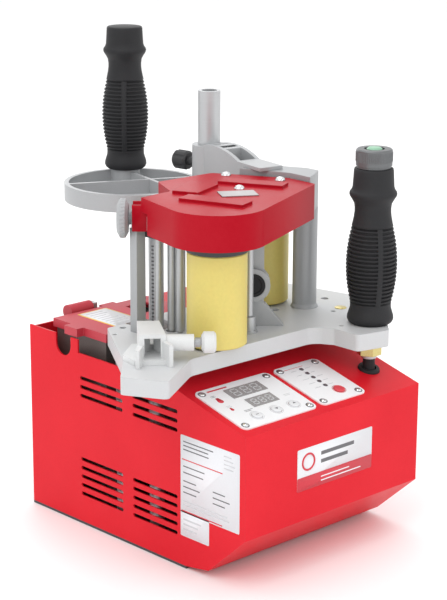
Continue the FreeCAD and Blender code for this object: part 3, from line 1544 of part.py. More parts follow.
def build_drive_motor():
    """Geared motor under the feed roller, hung from the plate by its gear head."""
    low = f"({PLATE_LOW} - 78)"
    can = rod("MotorCan", "19", "44", FEED_X, FEED_Y, low)
    head = rod("MotorHead", "20", "18", FEED_X, FEED_Y, f"{low} + 44")
    hanger_left = box("HangerLeft", "4", "16", "16", f"{FEED_X} - 17", FEED_Y, f"{low} + 62")
    hanger_right = box("HangerRight", "4", "16", "16", f"{FEED_X} + 17", FEED_Y, f"{low} + 62")
    bore = rod("MotorBore", "2.5 + runClearance", "8", FEED_X, FEED_Y, f"{PLATE_LOW} - 16")
    shaft_room = rod("MotorRoom", "2.5 + runClearance", "10", FEED_X, FEED_Y, f"{PLATE_LOW} - 20")
    blank = fuse("MotorBlank", can, head, hanger_left, hanger_right)
    piece(cut("drive_motor", blank, bore, shaft_room), "drive_motor")


def build_glue_pot():
    """Cast pot with its melt chamber and the neck that feeds the glue roller."""
    top = "(rearHeight + 0.5)"
    width = "(potRight - potLeft)"
    depth = "(potRear - potFront)"
    x = "((potRight + potLeft) / 2)"
    y = "((potRear + potFront) / 2)"
    outer = box("PotOuter", width, depth, "potDepth", x, y, f"{top} - potDepth")
    throat = box("PotThroat", "20", "potFront - glueY + 8", "14", "glueX + 1", "(potFront + glueY - 8) / 2",
                 f"{PLATE_LOW} - 16")
    lip = box("PotLip", "20", "plateBack - glueY + 7", "18", "glueX + 1", "(plateBack + glueY - 9) / 2",
              f"{PLATE_LOW} - 4 - 1")
    inner = box("PotInner", f"{width} - 2 * potWall", f"{depth} - 2 * potWall", "potDepth", x, y,
                f"{top} - potDepth + potWall + 14")
    trough = box("PotTrough", "8", f"potFront - glueY", "6", "glueX + 1", "potFront / 2 + glueY / 2 + 10",
                 f"{PLATE_LOW} - 10")
    gear_room = rod("PotGearRoom", "gearModule * gearTeeth / 2 + 3", "11",
                    "glueX", "glueY", f"{PLATE_LOW} - 13.5")
    mesh_room = rod("PotMeshRoom", "gearModule * gearTeeth / 2 + 3", "11",
                    FEED_X, FEED_Y, f"{PLATE_LOW} - 13.5")
    shaft_room = rod("PotShaftRoom", "2.5 + runClearance", "60", "glueX", "glueY", f"{PLATE_LOW} - 13.5")
    heaters = [
        point_along(rod(f"HeaterBore{index}", "4.1", f"{depth} - 16"), f"{x} {way} 20", "potRear + 0.1",
                    f"{top} - potDepth + 10", "-90")
        for index, way in enumerate("-+")
    ]
    leg_height = f"{top} - potDepth - panThickness"
    legs = [
        box(f"PotLeg{index}", "4", f"{depth} - 10", leg_height, f"{x} {way} 30", y, "panThickness")
        for index, way in enumerate("-+")
    ]
    blank = fuse("PotBlank", outer, throat, lip, *legs)
    piece(cut("glue_pot", blank, inner, trough, gear_room, mesh_room, shaft_room, *heaters), "glue_pot")
    cartridges = [
        point_along(rod(f"Heater{index}", "4", f"{depth} - 14"), f"{x} {way} 20", "potRear + 3",
                    f"{top} - potDepth + 10", "-90")
        for index, way in enumerate("-+")
    ]
    piece(group("pot_heaters", *cartridges), "pot_heaters")


LID_Z = "(rearHeight + 0.8)"


def build_pot_lid():
    """Red lid of the glue pot with its hinge barrel, tabs and the slot for looking in."""
    body = new_body("pot_lid")
    sketch = new_sketch(body, "LidOutline", "XY_Plane", LID_Z)
    outline(sketch, [
        ("potLeft - 4", "potFront - 5"),
        ("potRight + 8", "potFront - 5"),
        ("potRight + 8", "potRear"),
        ("potLeft + 64", "potRear"),
        ("potLeft + 64", "potRear + 5"),
        ("potLeft + 49", "potRear + 5"),
        ("potLeft + 49", "potRear"),
        ("potLeft - 4", "potRear"),
        ("potLeft - 4", "potRear - 23"),
        ("potLeft - 11", "potRear - 23"),
        ("potLeft - 11", "potRear - 39"),
        ("potLeft - 4", "potRear - 39"),
    ])
    pad(body, sketch, "lidHeight")
    hollow = new_sketch(body, "LidHollow", "XY_Plane", LID_Z)
    outline(hollow, [
        ("potLeft - 2", "potFront - 3"),
        ("potRight + 6", "potFront - 3"),
        ("potRight + 6", "potRear - 2"),
        ("potLeft - 2", "potRear - 2"),
    ])
    pocket(body, hollow, "lidHeight - 2", reverse=True)
    slot = new_sketch(body, "LidSlot", "XY_Plane", f"{LID_Z} + lidHeight")
    outline(slot, [
        ("potRight - 28", "potRear - 39"),
        ("potRight - 6", "potRear - 39"),
        ("potRight - 6", "potRear - 14"),
        ("potRight - 28", "potRear - 14"),
    ])
    pocket(body, slot, "3")
    barrel = new_sketch(body, "LidBarrel", "YZ_Plane", "potLeft + 18")
    ring(barrel, "hingeY", f"{LID_Z} + hingeRadius - 0.3", "hingeRadius")
    pad(body, barrel, "24")
    bridge = new_sketch(body, "LidBridge", "XY_Plane", f"{LID_Z} + 1")
    outline(bridge, [
        ("potLeft + 20", "potRear - 2"),
        ("potLeft + 40", "potRear - 2"),
        ("potLeft + 40", "hingeY - 3"),
        ("potLeft + 20", "hingeY - 3"),
    ])
    pad(body, bridge, "3")
    bore = new_sketch(body, "LidBore", "YZ_Plane", "potLeft + 44")
    ring(bore, "hingeY", f"{LID_Z} + hingeRadius - 0.3", "2.05")
    pocket(body, bore, "22")
    pin_z = f"({LID_Z} + hingeRadius - 0.3)"
    pin = point_along(rod("HingePin", "2", "24"), "potLeft + 22", "hingeY", pin_z, "0")
    ear = box("HingeEar", "4", "8", f"{pin_z} + 4 - (rearHeight - 40)",
              "potLeft + 45", "hingeY", "rearHeight - 40")
    foot = box("HingeFoot", "4", f"hingeY + 4 - potRear", "14", "potLeft + 45", "(hingeY + 4 + potRear) / 2",
               "rearHeight - 40")
    piece(fuse("lid_hinge", pin, ear, foot), "lid_hinge")


def build_inlet():
    """Power inlet module with its rocker switch."""
    flange = box("InletFlange", "inletWidth", "2", "inletHeight",
                 "inletX", f"{REAR} + 1", "inletZ - inletHeight / 2")
    depth = "24"
    rear_box = box("InletBody", "inletWidth - 11", depth, "inletHeight - 11", "inletX", f"{REAR} - 12",
                   "inletZ - inletHeight / 2 + 5.5")
    socket = box("InletSocket", "27", "19", "20", "inletX", f"{REAR} - 5", "inletZ - inletHeight / 2 + 8")
    core = box("InletCore", "16", "15", "8", "inletX", f"{REAR} - 8", "inletZ - inletHeight / 2 + 14")
    opening = box("RockerOpening", "rockerWidth", "14", "rockerHeight", "inletX", f"{REAR} - 4",
                  "inletZ + 4")
    hollow = cut("InletHollow", fuse("InletBlank", flange, rear_box), socket, opening)
    piece(fuse("power_inlet", hollow, core), "power_inlet")
    body = new_body("main_switch")
    sketch = new_sketch(body, "RockerSide", "YZ_Plane")
    half = "(rockerHeight / 2 - 1.4)"
    outline(sketch, [
        ("-6", f"-{half} + 2"),
        ("3.4", f"-{half}"),
        ("1.2", "0"),
        ("0.4", half),
        ("-6", f"{half} - 2"),
    ])
    pad(body, sketch, "rockerWidth - 0.8", midplane=True)
    # the rocker turns on a round pin through its foot
    pin = new_sketch(body, "RockerPin", "YZ_Plane")
    ring(pin, "-3", "0", "1.5")
    pad(body, pin, "rockerWidth - 0.1", midplane=True)
    place(body, "inletX", REAR, "inletZ + 4 + rockerHeight / 2")


# ---------------------------------------------------------------- the whole machine

def build():
    """Build every sub-part, check it and write it out."""
    build_base_pan()
    build_housing_shell()
    build_rear_panel()
    build_top_plate()
    build_plate_pillars()
    roller_stand("front", "frontRollerX", "frontRollerY")
    roller_stand("rear", "rearRollerX", "rearRollerY")
    build_roller_axles()
    build_feed_group()
    build_bearing_block()
    build_head_casting()
    build_right_column()
    build_head_cover()
    build_cover_window()
    build_cover_screws()
    build_thumb_wheel()
    build_support_bracket()
    build_tape_guide()
    build_guide_clamp()
    build_right_handle()
    build_sole()
    build_sole_fittings()
    build_support_arm()
    build_clamp_knob()
    build_panels()
    build_circuit_board()
    build_drive_motor()
    build_glue_pot()
    build_pot_lid()
    build_inlet()
    doc.recompute()


def check():
    """Stop if any object failed or any sub-part is empty or broken."""
    faults = [item.Name for item in doc.Objects if "Invalid" in item.State or "Error" in item.State]
    faults += [
        item.Label for item in PIECES
        if item.Shape.isNull() or not item.Shape.isValid() or not item.Shape.Solids
    ]
    if faults:
        raise RuntimeError("faulty: " + ", ".join(faults))


def export():
    """Write each sub-part to a file named after it."""
    os.makedirs("parts", exist_ok=True)
    for item in PIECES:
        item.Shape.exportStep(f"parts/{item.Label}.step")


build()
check()
export()
print(len(PIECES), "sub-parts")
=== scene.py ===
"""Edge banding machine: finishes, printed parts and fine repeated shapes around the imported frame."""
import json
import logging
import math
from dataclasses import dataclass, field
from enum import Enum
from typing import Optional, Sequence, Union

import bmesh
import bpy
from mathutils import Matrix, Vector


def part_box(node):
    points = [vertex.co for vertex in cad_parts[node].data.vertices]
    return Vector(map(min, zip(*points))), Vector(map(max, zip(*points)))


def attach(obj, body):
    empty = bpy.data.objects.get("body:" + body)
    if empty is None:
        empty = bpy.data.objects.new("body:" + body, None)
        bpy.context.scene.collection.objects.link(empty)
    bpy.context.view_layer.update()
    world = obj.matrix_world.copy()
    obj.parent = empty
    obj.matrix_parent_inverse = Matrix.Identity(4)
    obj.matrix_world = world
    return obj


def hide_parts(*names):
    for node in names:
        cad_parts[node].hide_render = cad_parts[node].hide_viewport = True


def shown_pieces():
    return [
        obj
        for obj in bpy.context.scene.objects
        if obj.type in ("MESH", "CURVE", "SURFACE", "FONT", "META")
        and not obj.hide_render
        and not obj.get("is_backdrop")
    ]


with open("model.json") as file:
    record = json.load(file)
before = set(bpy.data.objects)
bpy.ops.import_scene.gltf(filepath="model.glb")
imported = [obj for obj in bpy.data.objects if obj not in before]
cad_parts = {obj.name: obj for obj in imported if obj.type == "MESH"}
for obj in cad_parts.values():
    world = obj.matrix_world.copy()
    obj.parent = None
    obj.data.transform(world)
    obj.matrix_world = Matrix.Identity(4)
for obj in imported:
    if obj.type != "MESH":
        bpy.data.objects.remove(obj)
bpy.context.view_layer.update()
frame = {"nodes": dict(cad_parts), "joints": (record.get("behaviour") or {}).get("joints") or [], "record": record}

LOG = logging.getLogger("edge_banding_machine")

Colour = tuple[float, float, float]
Number = Union[int, float]
Profile = Sequence[tuple[float, float]]

MM = 0.001
UP = Vector((0.0, 0.0, 1.0))


# ---------------------------------------------------------------- node expressions

class Value:
    """A number inside a node tree that takes part in ordinary arithmetic."""

    def __init__(self, graph: "Graph", socket: bpy.types.NodeSocket) -> None:
        """Wrap an output socket of a graph."""
        self.graph = graph
        self.socket = socket

    def _math(self, operation: str, first: "Operand", second: "Operand") -> "Value":
        """Add one Math node.

        Args:
            operation: The node's operation.
            first: Its first input.
            second: Its second input.

        Returns:
            The node's result.
        """
        node = self.graph.add("ShaderNodeMath", {"operation": operation}, {0: first, 1: second})
        return Value(self.graph, node.outputs[0])

    def __add__(self, other: "Operand") -> "Value":
        """Sum."""
        return self._math("ADD", self, other)

    def __sub__(self, other: "Operand") -> "Value":
        """Difference."""
        return self._math("SUBTRACT", self, other)

    def __mul__(self, other: "Operand") -> "Value":
        """Product."""
        return self._math("MULTIPLY", self, other)

    def __truediv__(self, other: "Operand") -> "Value":
        """Quotient."""
        return self._math("DIVIDE", self, other)

    def __rsub__(self, other: "Operand") -> "Value":
        """Difference with the number first."""
        return self._math("SUBTRACT", other, self)

    __radd__ = __add__

    def ramp(self, low: float, high: float) -> "Value":
        """Nought below low, one above high, and even between them.

        Args:
            low: Where the ramp starts.
            high: Where the ramp ends.

        Returns:
            The share of the way between them.
        """
        node = self.graph.add(
            "ShaderNodeMapRange", {"clamp": True},
            {"Value": self, "From Min": low, "From Max": high},
        )
        return Value(self.graph, node.outputs[0])


Operand = Union[Value, Number]


class Graph:
    """A node tree with one way of adding a node."""

    def __init__(self, tree: bpy.types.NodeTree) -> None:
        """Start from an empty tree."""
        self.tree = tree

    def add(self, kind: str, settings: Optional[dict] = None,
            values: Optional[dict] = None) -> bpy.types.Node:
        """Add a node, give it its settings, then its inputs.

        Args:
            kind: The node's type.
            settings: Properties of the node, set first.
            values: A number, colour, Value, socket or node for each input, by name or index.

        Returns:
            The new node.
        """
        node = self.tree.nodes.new(kind)
        for name, setting in (settings or {}).items():
            setattr(node, name, setting)
        for key, value in (values or {}).items():
            self.feed(node, key, value)
        return node

    def feed(self, node: bpy.types.Node, key: Union[int, str], value: object) -> None:
        """Link or set one input of a node.

        Args:
            node: The node.
            key: The input's name or index.
            value: A number, colour, Value, socket or node.
        """
        if isinstance(key, int):
            socket = node.inputs[key]
        else:
            socket = next(item for item in node.inputs if item.name == key and item.enabled)
        if isinstance(value, Value):
            value = value.socket
        elif isinstance(value, bpy.types.Node):
            value = value.outputs[0]
        if isinstance(value, bpy.types.NodeSocket):
            self.tree.links.new(value, socket)
        else:
            socket.default_value = value


class MaterialGraph(Graph):
    """The nodes of one material."""

    def __init__(self, name: str) -> None:
        """Make an empty material of that name.

        Args:
            name: The material's name.
        """
        self.material = bpy.data.materials.new(name)
        self.material.use_nodes = True
        self.material.node_tree.nodes.clear()
        super().__init__(self.material.node_tree)
        self.place = self.add("ShaderNodeTexCoord").outputs["Object"]

    def stretched(self, scale: tuple[float, float, float]) -> bpy.types.NodeSocket:
        """Object coordinates, scaled along each axis."""
        return self.add("ShaderNodeMapping", None, {"Vector": self.place, "Scale": scale}).outputs[0]

    def noise(self, scale: float, detail: float = 2.0,
              vector: Optional[bpy.types.NodeSocket] = None) -> Value:
        """Smooth noise from nought to one.

        Args:
            scale: Features per metre.
            detail: Octaves.
            vector: Coordinates, which are the object's own unless given.

        Returns:
            The noise.
        """
        node = self.add(
            "ShaderNodeTexNoise", None,
            {"Vector": vector or self.place, "Scale": scale, "Detail": detail},
        )
        return Value(self, node.outputs[0])

    def cells(self, scale: float) -> Value:
        """Distance to the nearest of scattered points, for pits and grains."""
        node = self.add("ShaderNodeTexVoronoi", None, {"Vector": self.place, "Scale": scale})
        return Value(self, node.outputs["Distance"])

    def blend(self, mask: Value, first: object, second: object) -> bpy.types.NodeSocket:
        """A colour between two others.

        Args:
            mask: Nought for the first, one for the second.
            first: A colour or a socket.
            second: A colour or a socket.

        Returns:
            The mixed colour.
        """
        colours = [(*item, 1.0) if isinstance(item, tuple) else item for item in (first, second)]
        node = self.add(
            "ShaderNodeMix", {"data_type": "RGBA"},
            {"Factor": mask, "A": colours[0], "B": colours[1]},
        )
        return next(item for item in node.outputs if item.enabled)

    def rounded(self, radius: float) -> bpy.types.NodeSocket:
        """The normal as if every sharp edge were broken by that radius."""
        return self.add("ShaderNodeBevel", {"samples": 6}, {"Radius": radius}).outputs[0]

    def edges(self, rounded: bpy.types.NodeSocket) -> Value:
        """One on a broken edge, and nought on the flats beside it.

        Args:
            rounded: The normal with its edges broken.

        Returns:
            The mask.
        """
        true = self.add("ShaderNodeNewGeometry").outputs["Normal"]
        node = self.add("ShaderNodeVectorMath", {"operation": "DOT_PRODUCT"}, {0: rounded, 1: true})
        return (1.0 - Value(self, node.outputs["Value"])).ramp(0.01, 0.16)

    def relief(self, height: Value, depth: float, normal: bpy.types.NodeSocket) -> bpy.types.NodeSocket:
        """A bumped normal.

        Args:
            height: The relief, from nought to one.
            depth: What one stands for, in metres.
            normal: The normal that the relief stands on.

        Returns:
            The new normal.
        """
        node = self.add("ShaderNodeBump", None, {"Height": height, "Distance": depth, "Normal": normal})
        return node.outputs[0]

    def shade(self, values: dict) -> bpy.types.Material:
        """Close the tree with a principled shader that takes these values.

        Args:
            values: The shader's inputs by name.

        Returns:
            The finished material.
        """
        shader = self.add("ShaderNodeBsdfPrincipled", None, values)
        self.add("ShaderNodeOutputMaterial", None, {"Surface": shader})
        return self.material


class GeometryTree(Graph):
    """A Geometry Nodes tree that makes one kind of repeated shape from named sizes."""

    def __init__(self, name: str, sizes: dict[str, Number]) -> None:
        """Make the tree and its inputs, which start at these sizes.

        Args:
            name: The tree's name.
            sizes: The named inputs and what they start at.
        """
        group = bpy.data.node_groups.new(name, "GeometryNodeTree")
        super().__init__(group)
        group.interface.new_socket("Geometry", in_out="OUTPUT", socket_type="NodeSocketGeometry")
        self.identifiers: dict[str, str] = {}
        for label, size in sizes.items():
            kind = "NodeSocketInt" if isinstance(size, int) else "NodeSocketFloat"
            socket = group.interface.new_socket(label, in_out="INPUT", socket_type=kind)
            socket.default_value = size
            self.identifiers[label] = socket.identifier
        self.entry = self.add("NodeGroupInput")
        self.sizes = sizes

    def size(self, label: str) -> Value:
        """One of the tree's named inputs."""
        return Value(self, self.entry.outputs[label])

    def vector(self, x: Operand = 0.0, y: Operand = 0.0, z: Operand = 0.0) -> bpy.types.NodeSocket:
        """A vector of three values."""
        return self.add("ShaderNodeCombineXYZ", None, {0: x, 1: y, 2: z}).outputs[0]

    def index(self) -> Value:
        """The number of each point, from nought."""
        return Value(self, self.add("GeometryNodeInputIndex").outputs[0])

    def copies(self, points: object, shape: object, **extra: object) -> bpy.types.Node:
        """Put one copy of a shape on each point.

        Args:
            points: The points.
            shape: What is copied.
            extra: The copies' Rotation or Scale.

        Returns:
            The node that holds the copies.
        """
        return self.add(
            "GeometryNodeInstanceOnPoints", None, {"Points": points, "Instance": shape, **extra},
        )

    def circle(self, sides: int, radius: Operand) -> bpy.types.Node:
        """A round curve about the origin."""
        return self.add(
            "GeometryNodeCurvePrimitiveCircle", None, {"Resolution": sides, "Radius": radius},
        )

    def line(self, count: Operand, start: object, step: object) -> bpy.types.Node:
        """Points in a row.

        Args:
            count: How many points.
            start: The first point.
            step: From one point to the next.

        Returns:
            The node that holds the points.
        """
        return self.add(
            "GeometryNodeMeshLine", {"mode": "OFFSET"},
            {"Count": count, "Start Location": start, "Offset": step},
        )

    def bar(self, width: Operand, height: Operand, depth: Operand) -> bpy.types.Node:
        """A plain block about the origin."""
        return self.add("GeometryNodeMeshCube", None, {"Size": self.vector(width, height, depth)})

    def join(self, *parts: bpy.types.Node) -> bpy.types.Node:
        """Several geometries as one.

        Args:
            parts: The nodes that hold them.

        Returns:
            The node that holds them all.
        """
        node = self.add("GeometryNodeJoinGeometry")
        for part in parts:
            self.tree.links.new(part.outputs[0], node.inputs[0])
        return node

    def close(self, geometry: bpy.types.Node) -> "GeometryTree":
        """End the tree: real geometry, with a material slot to fill in.

        Args:
            geometry: The node that holds the shape.

        Returns:
            The same tree.
        """
        real = self.add("GeometryNodeRealizeInstances", None, {"Geometry": geometry})
        self.dressed = self.add("GeometryNodeSetMaterial", None, {"Geometry": real})
        self.add("NodeGroupOutput", None, {0: self.dressed})
        return self

    def make(self, name: str, material: bpy.types.Material, **sizes: Number) -> bpy.types.Object:
        """Run the tree once and keep the result as a plain mesh.

        Args:
            name: The new piece's name.
            material: Its material.
            sizes: Named inputs that differ from the tree's own.

        Returns:
            The new piece, about the origin.
        """
        self.dressed.inputs["Material"].default_value = material
        holder = bpy.data.objects.new(name + "_holder", bpy.data.meshes.new(name + "_holder"))
        bpy.context.scene.collection.objects.link(holder)
        modifier = holder.modifiers.new("Shape", "NODES")
        modifier.node_group = self.tree
        for label, size in {**self.sizes, **sizes}.items():
            modifier[self.identifiers[label]] = size
        bpy.context.view_layer.update()
        evaluated = holder.evaluated_get(bpy.context.evaluated_depsgraph_get())
        mesh = bpy.data.meshes.new_from_object(evaluated)
        holder.modifiers.clear()
        bpy.data.objects.remove(holder)
        mesh.name = name
        if not mesh.materials:
            mesh.materials.append(material)
        piece = bpy.data.objects.new(name, mesh)
        bpy.context.scene.collection.objects.link(piece)
        return piece


# ---------------------------------------------------------------- finishes

class Surface(Enum):
    """How a material was made, which sets its relief."""

    POWDER = "powder coat"
    CAST = "sand casting"
    BRUSHED = "brushed metal"
    TURNED = "turned metal"
    MOULDED = "moulded plastic"
    RUBBER = "grained rubber"
    SILICONE = "silicone rubber"
    FILM = "printed film"


@dataclass(frozen=True)
class Finish:
    """One finish: its colour, gloss, relief and the painted highlight along its edges."""

    slot: str
    surface: Surface
    colour: Colour
    roughness: float = 0.5
    metallic: float = 0.0
    gloss: float = 0.5
    drift: float = 0.12
    edge_highlight: float = 0.25
    edge: float = 0.5 * MM

    def relief(self, graph: MaterialGraph) -> tuple[Value, float]:
        """The surface's relief.

        Args:
            graph: The material's nodes.

        Returns:
            The height and what one stands for in metres.
        """
        if self.surface is Surface.POWDER:
            return graph.noise(1100.0, 2.0) * 0.7 + graph.noise(300.0, 1.0) * 0.3, 0.05 * MM
        if self.surface is Surface.CAST:
            return graph.noise(1500.0, 3.0) * 0.6 + graph.cells(1100.0) * 0.4, 0.09 * MM
        if self.surface is Surface.BRUSHED:
            return graph.noise(1.0, 3.0, graph.stretched((160.0, 160.0, 4000.0))), 0.02 * MM
        if self.surface is Surface.TURNED:
            return graph.noise(1.0, 2.0, graph.stretched((60.0, 60.0, 5200.0))), 0.02 * MM
        if self.surface is Surface.MOULDED:
            return graph.cells(1500.0), 0.03 * MM
        if self.surface is Surface.RUBBER:
            return graph.cells(1300.0) * 0.5 + graph.noise(2200.0, 2.0) * 0.5, 0.06 * MM
        if self.surface is Surface.SILICONE:
            return graph.noise(420.0, 3.0), 0.03 * MM
        return graph.noise(700.0, 1.0), 0.01 * MM

    def build(self) -> bpy.types.Material:
        """Make the material.

        Returns:
            The material, named after its slot.
        """
        graph = MaterialGraph(self.slot)
        height, depth = self.relief(graph)
        rounded = graph.rounded(self.edge)
        edges = graph.edges(rounded)
        cloud = graph.noise(14.0, 4.0).ramp(0.3, 0.7)
        fleck = height.ramp(0.25, 0.75)
        dark = tuple(channel * (1.0 - self.drift) for channel in self.colour)
        pale = tuple(min(1.0, channel * (1.0 + self.drift) + 0.01) for channel in self.colour)
        # Painted highlight: a paler copy of the colour that the edge mask lays along every edge.
        edge_lit = tuple(min(1.0, channel * 0.75 + 0.25) for channel in self.colour)
        base = graph.blend(cloud * 0.6 + fleck * 0.4, dark, pale)
        # Painted highlight: the edges blend towards the paler colour.
        base = graph.blend(edges * self.edge_highlight, base, edge_lit)
        rough = self.roughness + (cloud - 0.5) * 0.10 + (fleck - 0.5) * 0.08 - edges * 0.08
        values = {
            "Base Color": base,
            "Roughness": rough,
            "Metallic": self.metallic,
            "Specular IOR Level": self.gloss,
            "Normal": graph.relief(height, depth, rounded),
        }
        if self.surface is Surface.SILICONE:
            values["Subsurface Weight"] = 0.12
            values["Subsurface Scale"] = 0.004
        return graph.shade(values)


class Finishes:
    """Every finish of the machine, made once and found by its slot."""

    SLOTS = (
        Finish(
            "red_powder_coat", Surface.POWDER, (0.68, 0.006, 0.018), 0.38, gloss=0.14, drift=0.07, edge_highlight=0.12,
        ),
        Finish(
            "red_cover_paint", Surface.POWDER, (0.40, 0.0, 0.010), 0.34, gloss=0.08, drift=0.06, edge_highlight=0.06,
        ),
        Finish("red_lid_paint", Surface.POWDER, (0.50, 0.03, 0.05), 0.5, drift=0.12),
        Finish("pan_steel", Surface.POWDER, (0.04, 0.04, 0.045), 0.5),
        Finish("plate_casting", Surface.CAST, (0.56, 0.57, 0.58), 0.42, 0.0, drift=0.05, edge=0.8 * MM),
        Finish("head_casting_grey", Surface.CAST, (0.37, 0.38, 0.39), 0.42, 0.2, drift=0.08, edge=0.8 * MM),
        Finish("sole_casting", Surface.CAST, (0.42, 0.43, 0.44), 0.42, 0.2, drift=0.08, edge=0.8 * MM),
        Finish("bright_steel", Surface.TURNED, (0.50, 0.51, 0.52), 0.42, 0.75, edge=0.3 * MM),
        Finish("chrome_screws", Surface.TURNED, (0.72, 0.73, 0.74), 0.2, 1.0, edge=0.2 * MM),
        Finish("gear_steel", Surface.TURNED, (0.36, 0.36, 0.37), 0.35, 1.0, edge=0.2 * MM),
        Finish("roller_rubber", Surface.SILICONE, (0.68, 0.56, 0.15), 0.45, drift=0.06, edge_highlight=0.1),
        Finish("black_core", Surface.MOULDED, (0.035, 0.035, 0.038), 0.45, drift=0.2),
        Finish("grip_rubber", Surface.RUBBER, (0.014, 0.014, 0.016), 0.6, gloss=0.3, drift=0.25, edge_highlight=0.1),
        Finish("clamp_plastic", Surface.MOULDED, (0.02, 0.02, 0.022), 0.5, drift=0.2, edge_highlight=0.1),
        Finish("wheel_grey", Surface.MOULDED, (0.36, 0.37, 0.38), 0.45, drift=0.1),
        Finish("guide_plastic", Surface.MOULDED, (0.66, 0.67, 0.67), 0.38, drift=0.05),
        Finish("collar_metal", Surface.BRUSHED, (0.16, 0.165, 0.17), 0.42, 0.7, edge=0.3 * MM),
        Finish("nut_brass", Surface.BRUSHED, (0.62, 0.52, 0.22), 0.3, 1.0, edge=0.3 * MM),
        Finish("window_metal", Surface.BRUSHED, (0.40, 0.38, 0.38), 0.35, 0.8),
        Finish("button_green", Surface.MOULDED, (0.26, 0.50, 0.34), 0.35, drift=0.08),
        Finish("panel_face", Surface.FILM, (0.86, 0.87, 0.89), 0.4, drift=0.02, edge_highlight=0.1, edge=0.3 * MM),
        Finish("display_dark", Surface.FILM, (0.30, 0.29, 0.29), 0.22, drift=0.06, edge=0.2 * MM),
        Finish("lamp_dark", Surface.FILM, (0.10, 0.07, 0.08), 0.2, drift=0.1, edge=0.1 * MM),
        Finish("key_grey", Surface.FILM, (0.74, 0.75, 0.77), 0.42, drift=0.03, edge=0.3 * MM),
        Finish("key_red", Surface.FILM, (0.66, 0.05, 0.07), 0.4, drift=0.05, edge=0.3 * MM),
        Finish("inlet_black", Surface.MOULDED, (0.015, 0.015, 0.016), 0.4, drift=0.2, edge_highlight=0.1),
        Finish("board_green", Surface.FILM, (0.02, 0.16, 0.06), 0.4, drift=0.2),
        Finish("motor_steel", Surface.BRUSHED, (0.3, 0.3, 0.31), 0.4, 0.8),
        Finish("pot_alloy", Surface.CAST, (0.17, 0.15, 0.14), 0.5, 0.5, drift=0.3),
        Finish("heater_brass", Surface.TURNED, (0.6, 0.45, 0.2), 0.35, 1.0),
    )
    INKS = (
        Finish("print_red", Surface.FILM, (0.62, 0.03, 0.05), 0.45, drift=0.05, edge=0.05 * MM),
        Finish("print_grey", Surface.FILM, (0.12, 0.12, 0.13), 0.45, drift=0.05, edge=0.05 * MM),
        Finish("print_pale", Surface.FILM, (0.55, 0.56, 0.58), 0.45, drift=0.04, edge=0.05 * MM),
        Finish("label_white", Surface.FILM, (0.78, 0.79, 0.82), 0.4, drift=0.03, edge=0.1 * MM),
        Finish("label_yellow", Surface.FILM, (0.85, 0.55, 0.08), 0.4, drift=0.04, edge=0.1 * MM),
    )

    def __init__(self) -> None:
        """Make every material."""
        self.made = {finish.slot: finish.build() for finish in self.SLOTS + self.INKS}

    def __getitem__(self, slot: str) -> bpy.types.Material:
        """The material of a slot."""
        return self.made[slot]

    def dress_frame(self) -> None:
        """Give every carried-over node the finish of its slot."""
        slots = {row["node"]: row["material_slot"] for row in frame["record"]["subparts"]}
        for name, node in frame["nodes"].items():
            node.data.materials.clear()
            node.data.materials.append(self.made[slots[name]])


# ---------------------------------------------------------------- meshes

@dataclass(frozen=True)
class Facing:
    """A flat place on the machine: its origin, and which way is right and up on it."""

    origin: Vector
    right: Vector
    up: Vector

    @property
    def out(self) -> Vector:
        """The way off the surface."""
        return self.right.cross(self.up)

    def matrix(self, x: float = 0.0, y: float = 0.0, lift: float = 0.0) -> Matrix:
        """From a piece drawn flat to its place.

        Args:
            x: Metres to the right.
            y: Metres up.
            lift: Metres off the surface.

        Returns:
            The transform.
        """
        columns = Matrix((self.right, self.up, self.out)).transposed().to_4x4()
        shift = self.origin + self.right * x + self.up * y + self.out * lift
        return Matrix.Translation(shift) @ columns


def settle(piece: bpy.types.Object, body: str, slot: str, *nodes: str) -> bpy.types.Object:
    """Hand a finished piece to the frame.

    Args:
        piece: The piece, in place.
        body: The body it rides on.
        slot: Not used.
        nodes: CAD nodes it stands for.

    Returns:
        The same piece.
    """
    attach(piece, body)
    if nodes:
        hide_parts(*nodes)
    return piece


def link_mesh(name: str, shape: bmesh.types.BMesh, material: bpy.types.Material,
              crease: float = 32.0) -> bpy.types.Object:
    """Turn a bmesh into a piece with its smooth and sharp edges set.

    Args:
        name: The piece's name.
        shape: The mesh, which is freed.
        material: Its material.
        crease: Edges sharper than this many degrees stay sharp.

    Returns:
        The piece.
    """
    for face in shape.faces:
        face.smooth = True
    limit = math.radians(crease)
    for edge in shape.edges:
        edge.smooth = len(edge.link_faces) == 2 and edge.calc_face_angle(0.0) < limit
    mesh = bpy.data.meshes.new(name)
    shape.to_mesh(mesh)
    shape.free()
    mesh.materials.append(material)
    piece = bpy.data.objects.new(name, mesh)
    bpy.context.scene.collection.objects.link(piece)
    return piece


def around(radius: float, turn: float, height: float = 0.0) -> Vector:
    """A point at a radius, a turn in radians and a height about the upright axis."""
    return Vector((radius * math.cos(turn), radius * math.sin(turn), height))


def lathe(name: str, profile: Profile, centre: Vector, material: bpy.types.Material,
          steps: int = 96) -> bpy.types.Object:
    """Turn a profile about an upright axis.

    Args:
        name: The piece's name.
        profile: Radius and height pairs, from the foot to the top, in metres.
        centre: The foot of the axis.
        material: The piece's material.
        steps: Facets round the axis.

    Returns:
        The piece, closed at both ends.
    """
    shape = bmesh.new()
    rings = []
    for radius, height in profile:
        turns = (2.0 * math.pi * step / steps for step in range(steps))
        rings.append([shape.verts.new(centre + around(radius, turn, height)) for turn in turns])
    for low, high in zip(rings, rings[1:]):
        for step in range(steps):
            after = (step + 1) % steps
            shape.faces.new((low[step], low[after], high[after], high[step]))
    for ring, height, flip in ((rings[0], profile[0][1], True), (rings[-1], profile[-1][1], False)):
        pole = shape.verts.new(centre + UP * height)
        for step in range(steps):
            after = (step + 1) % steps
            corners = (ring[after], ring[step], pole) if flip else (ring[step], ring[after], pole)
            shape.faces.new(corners)
    return link_mesh(name, shape, material)


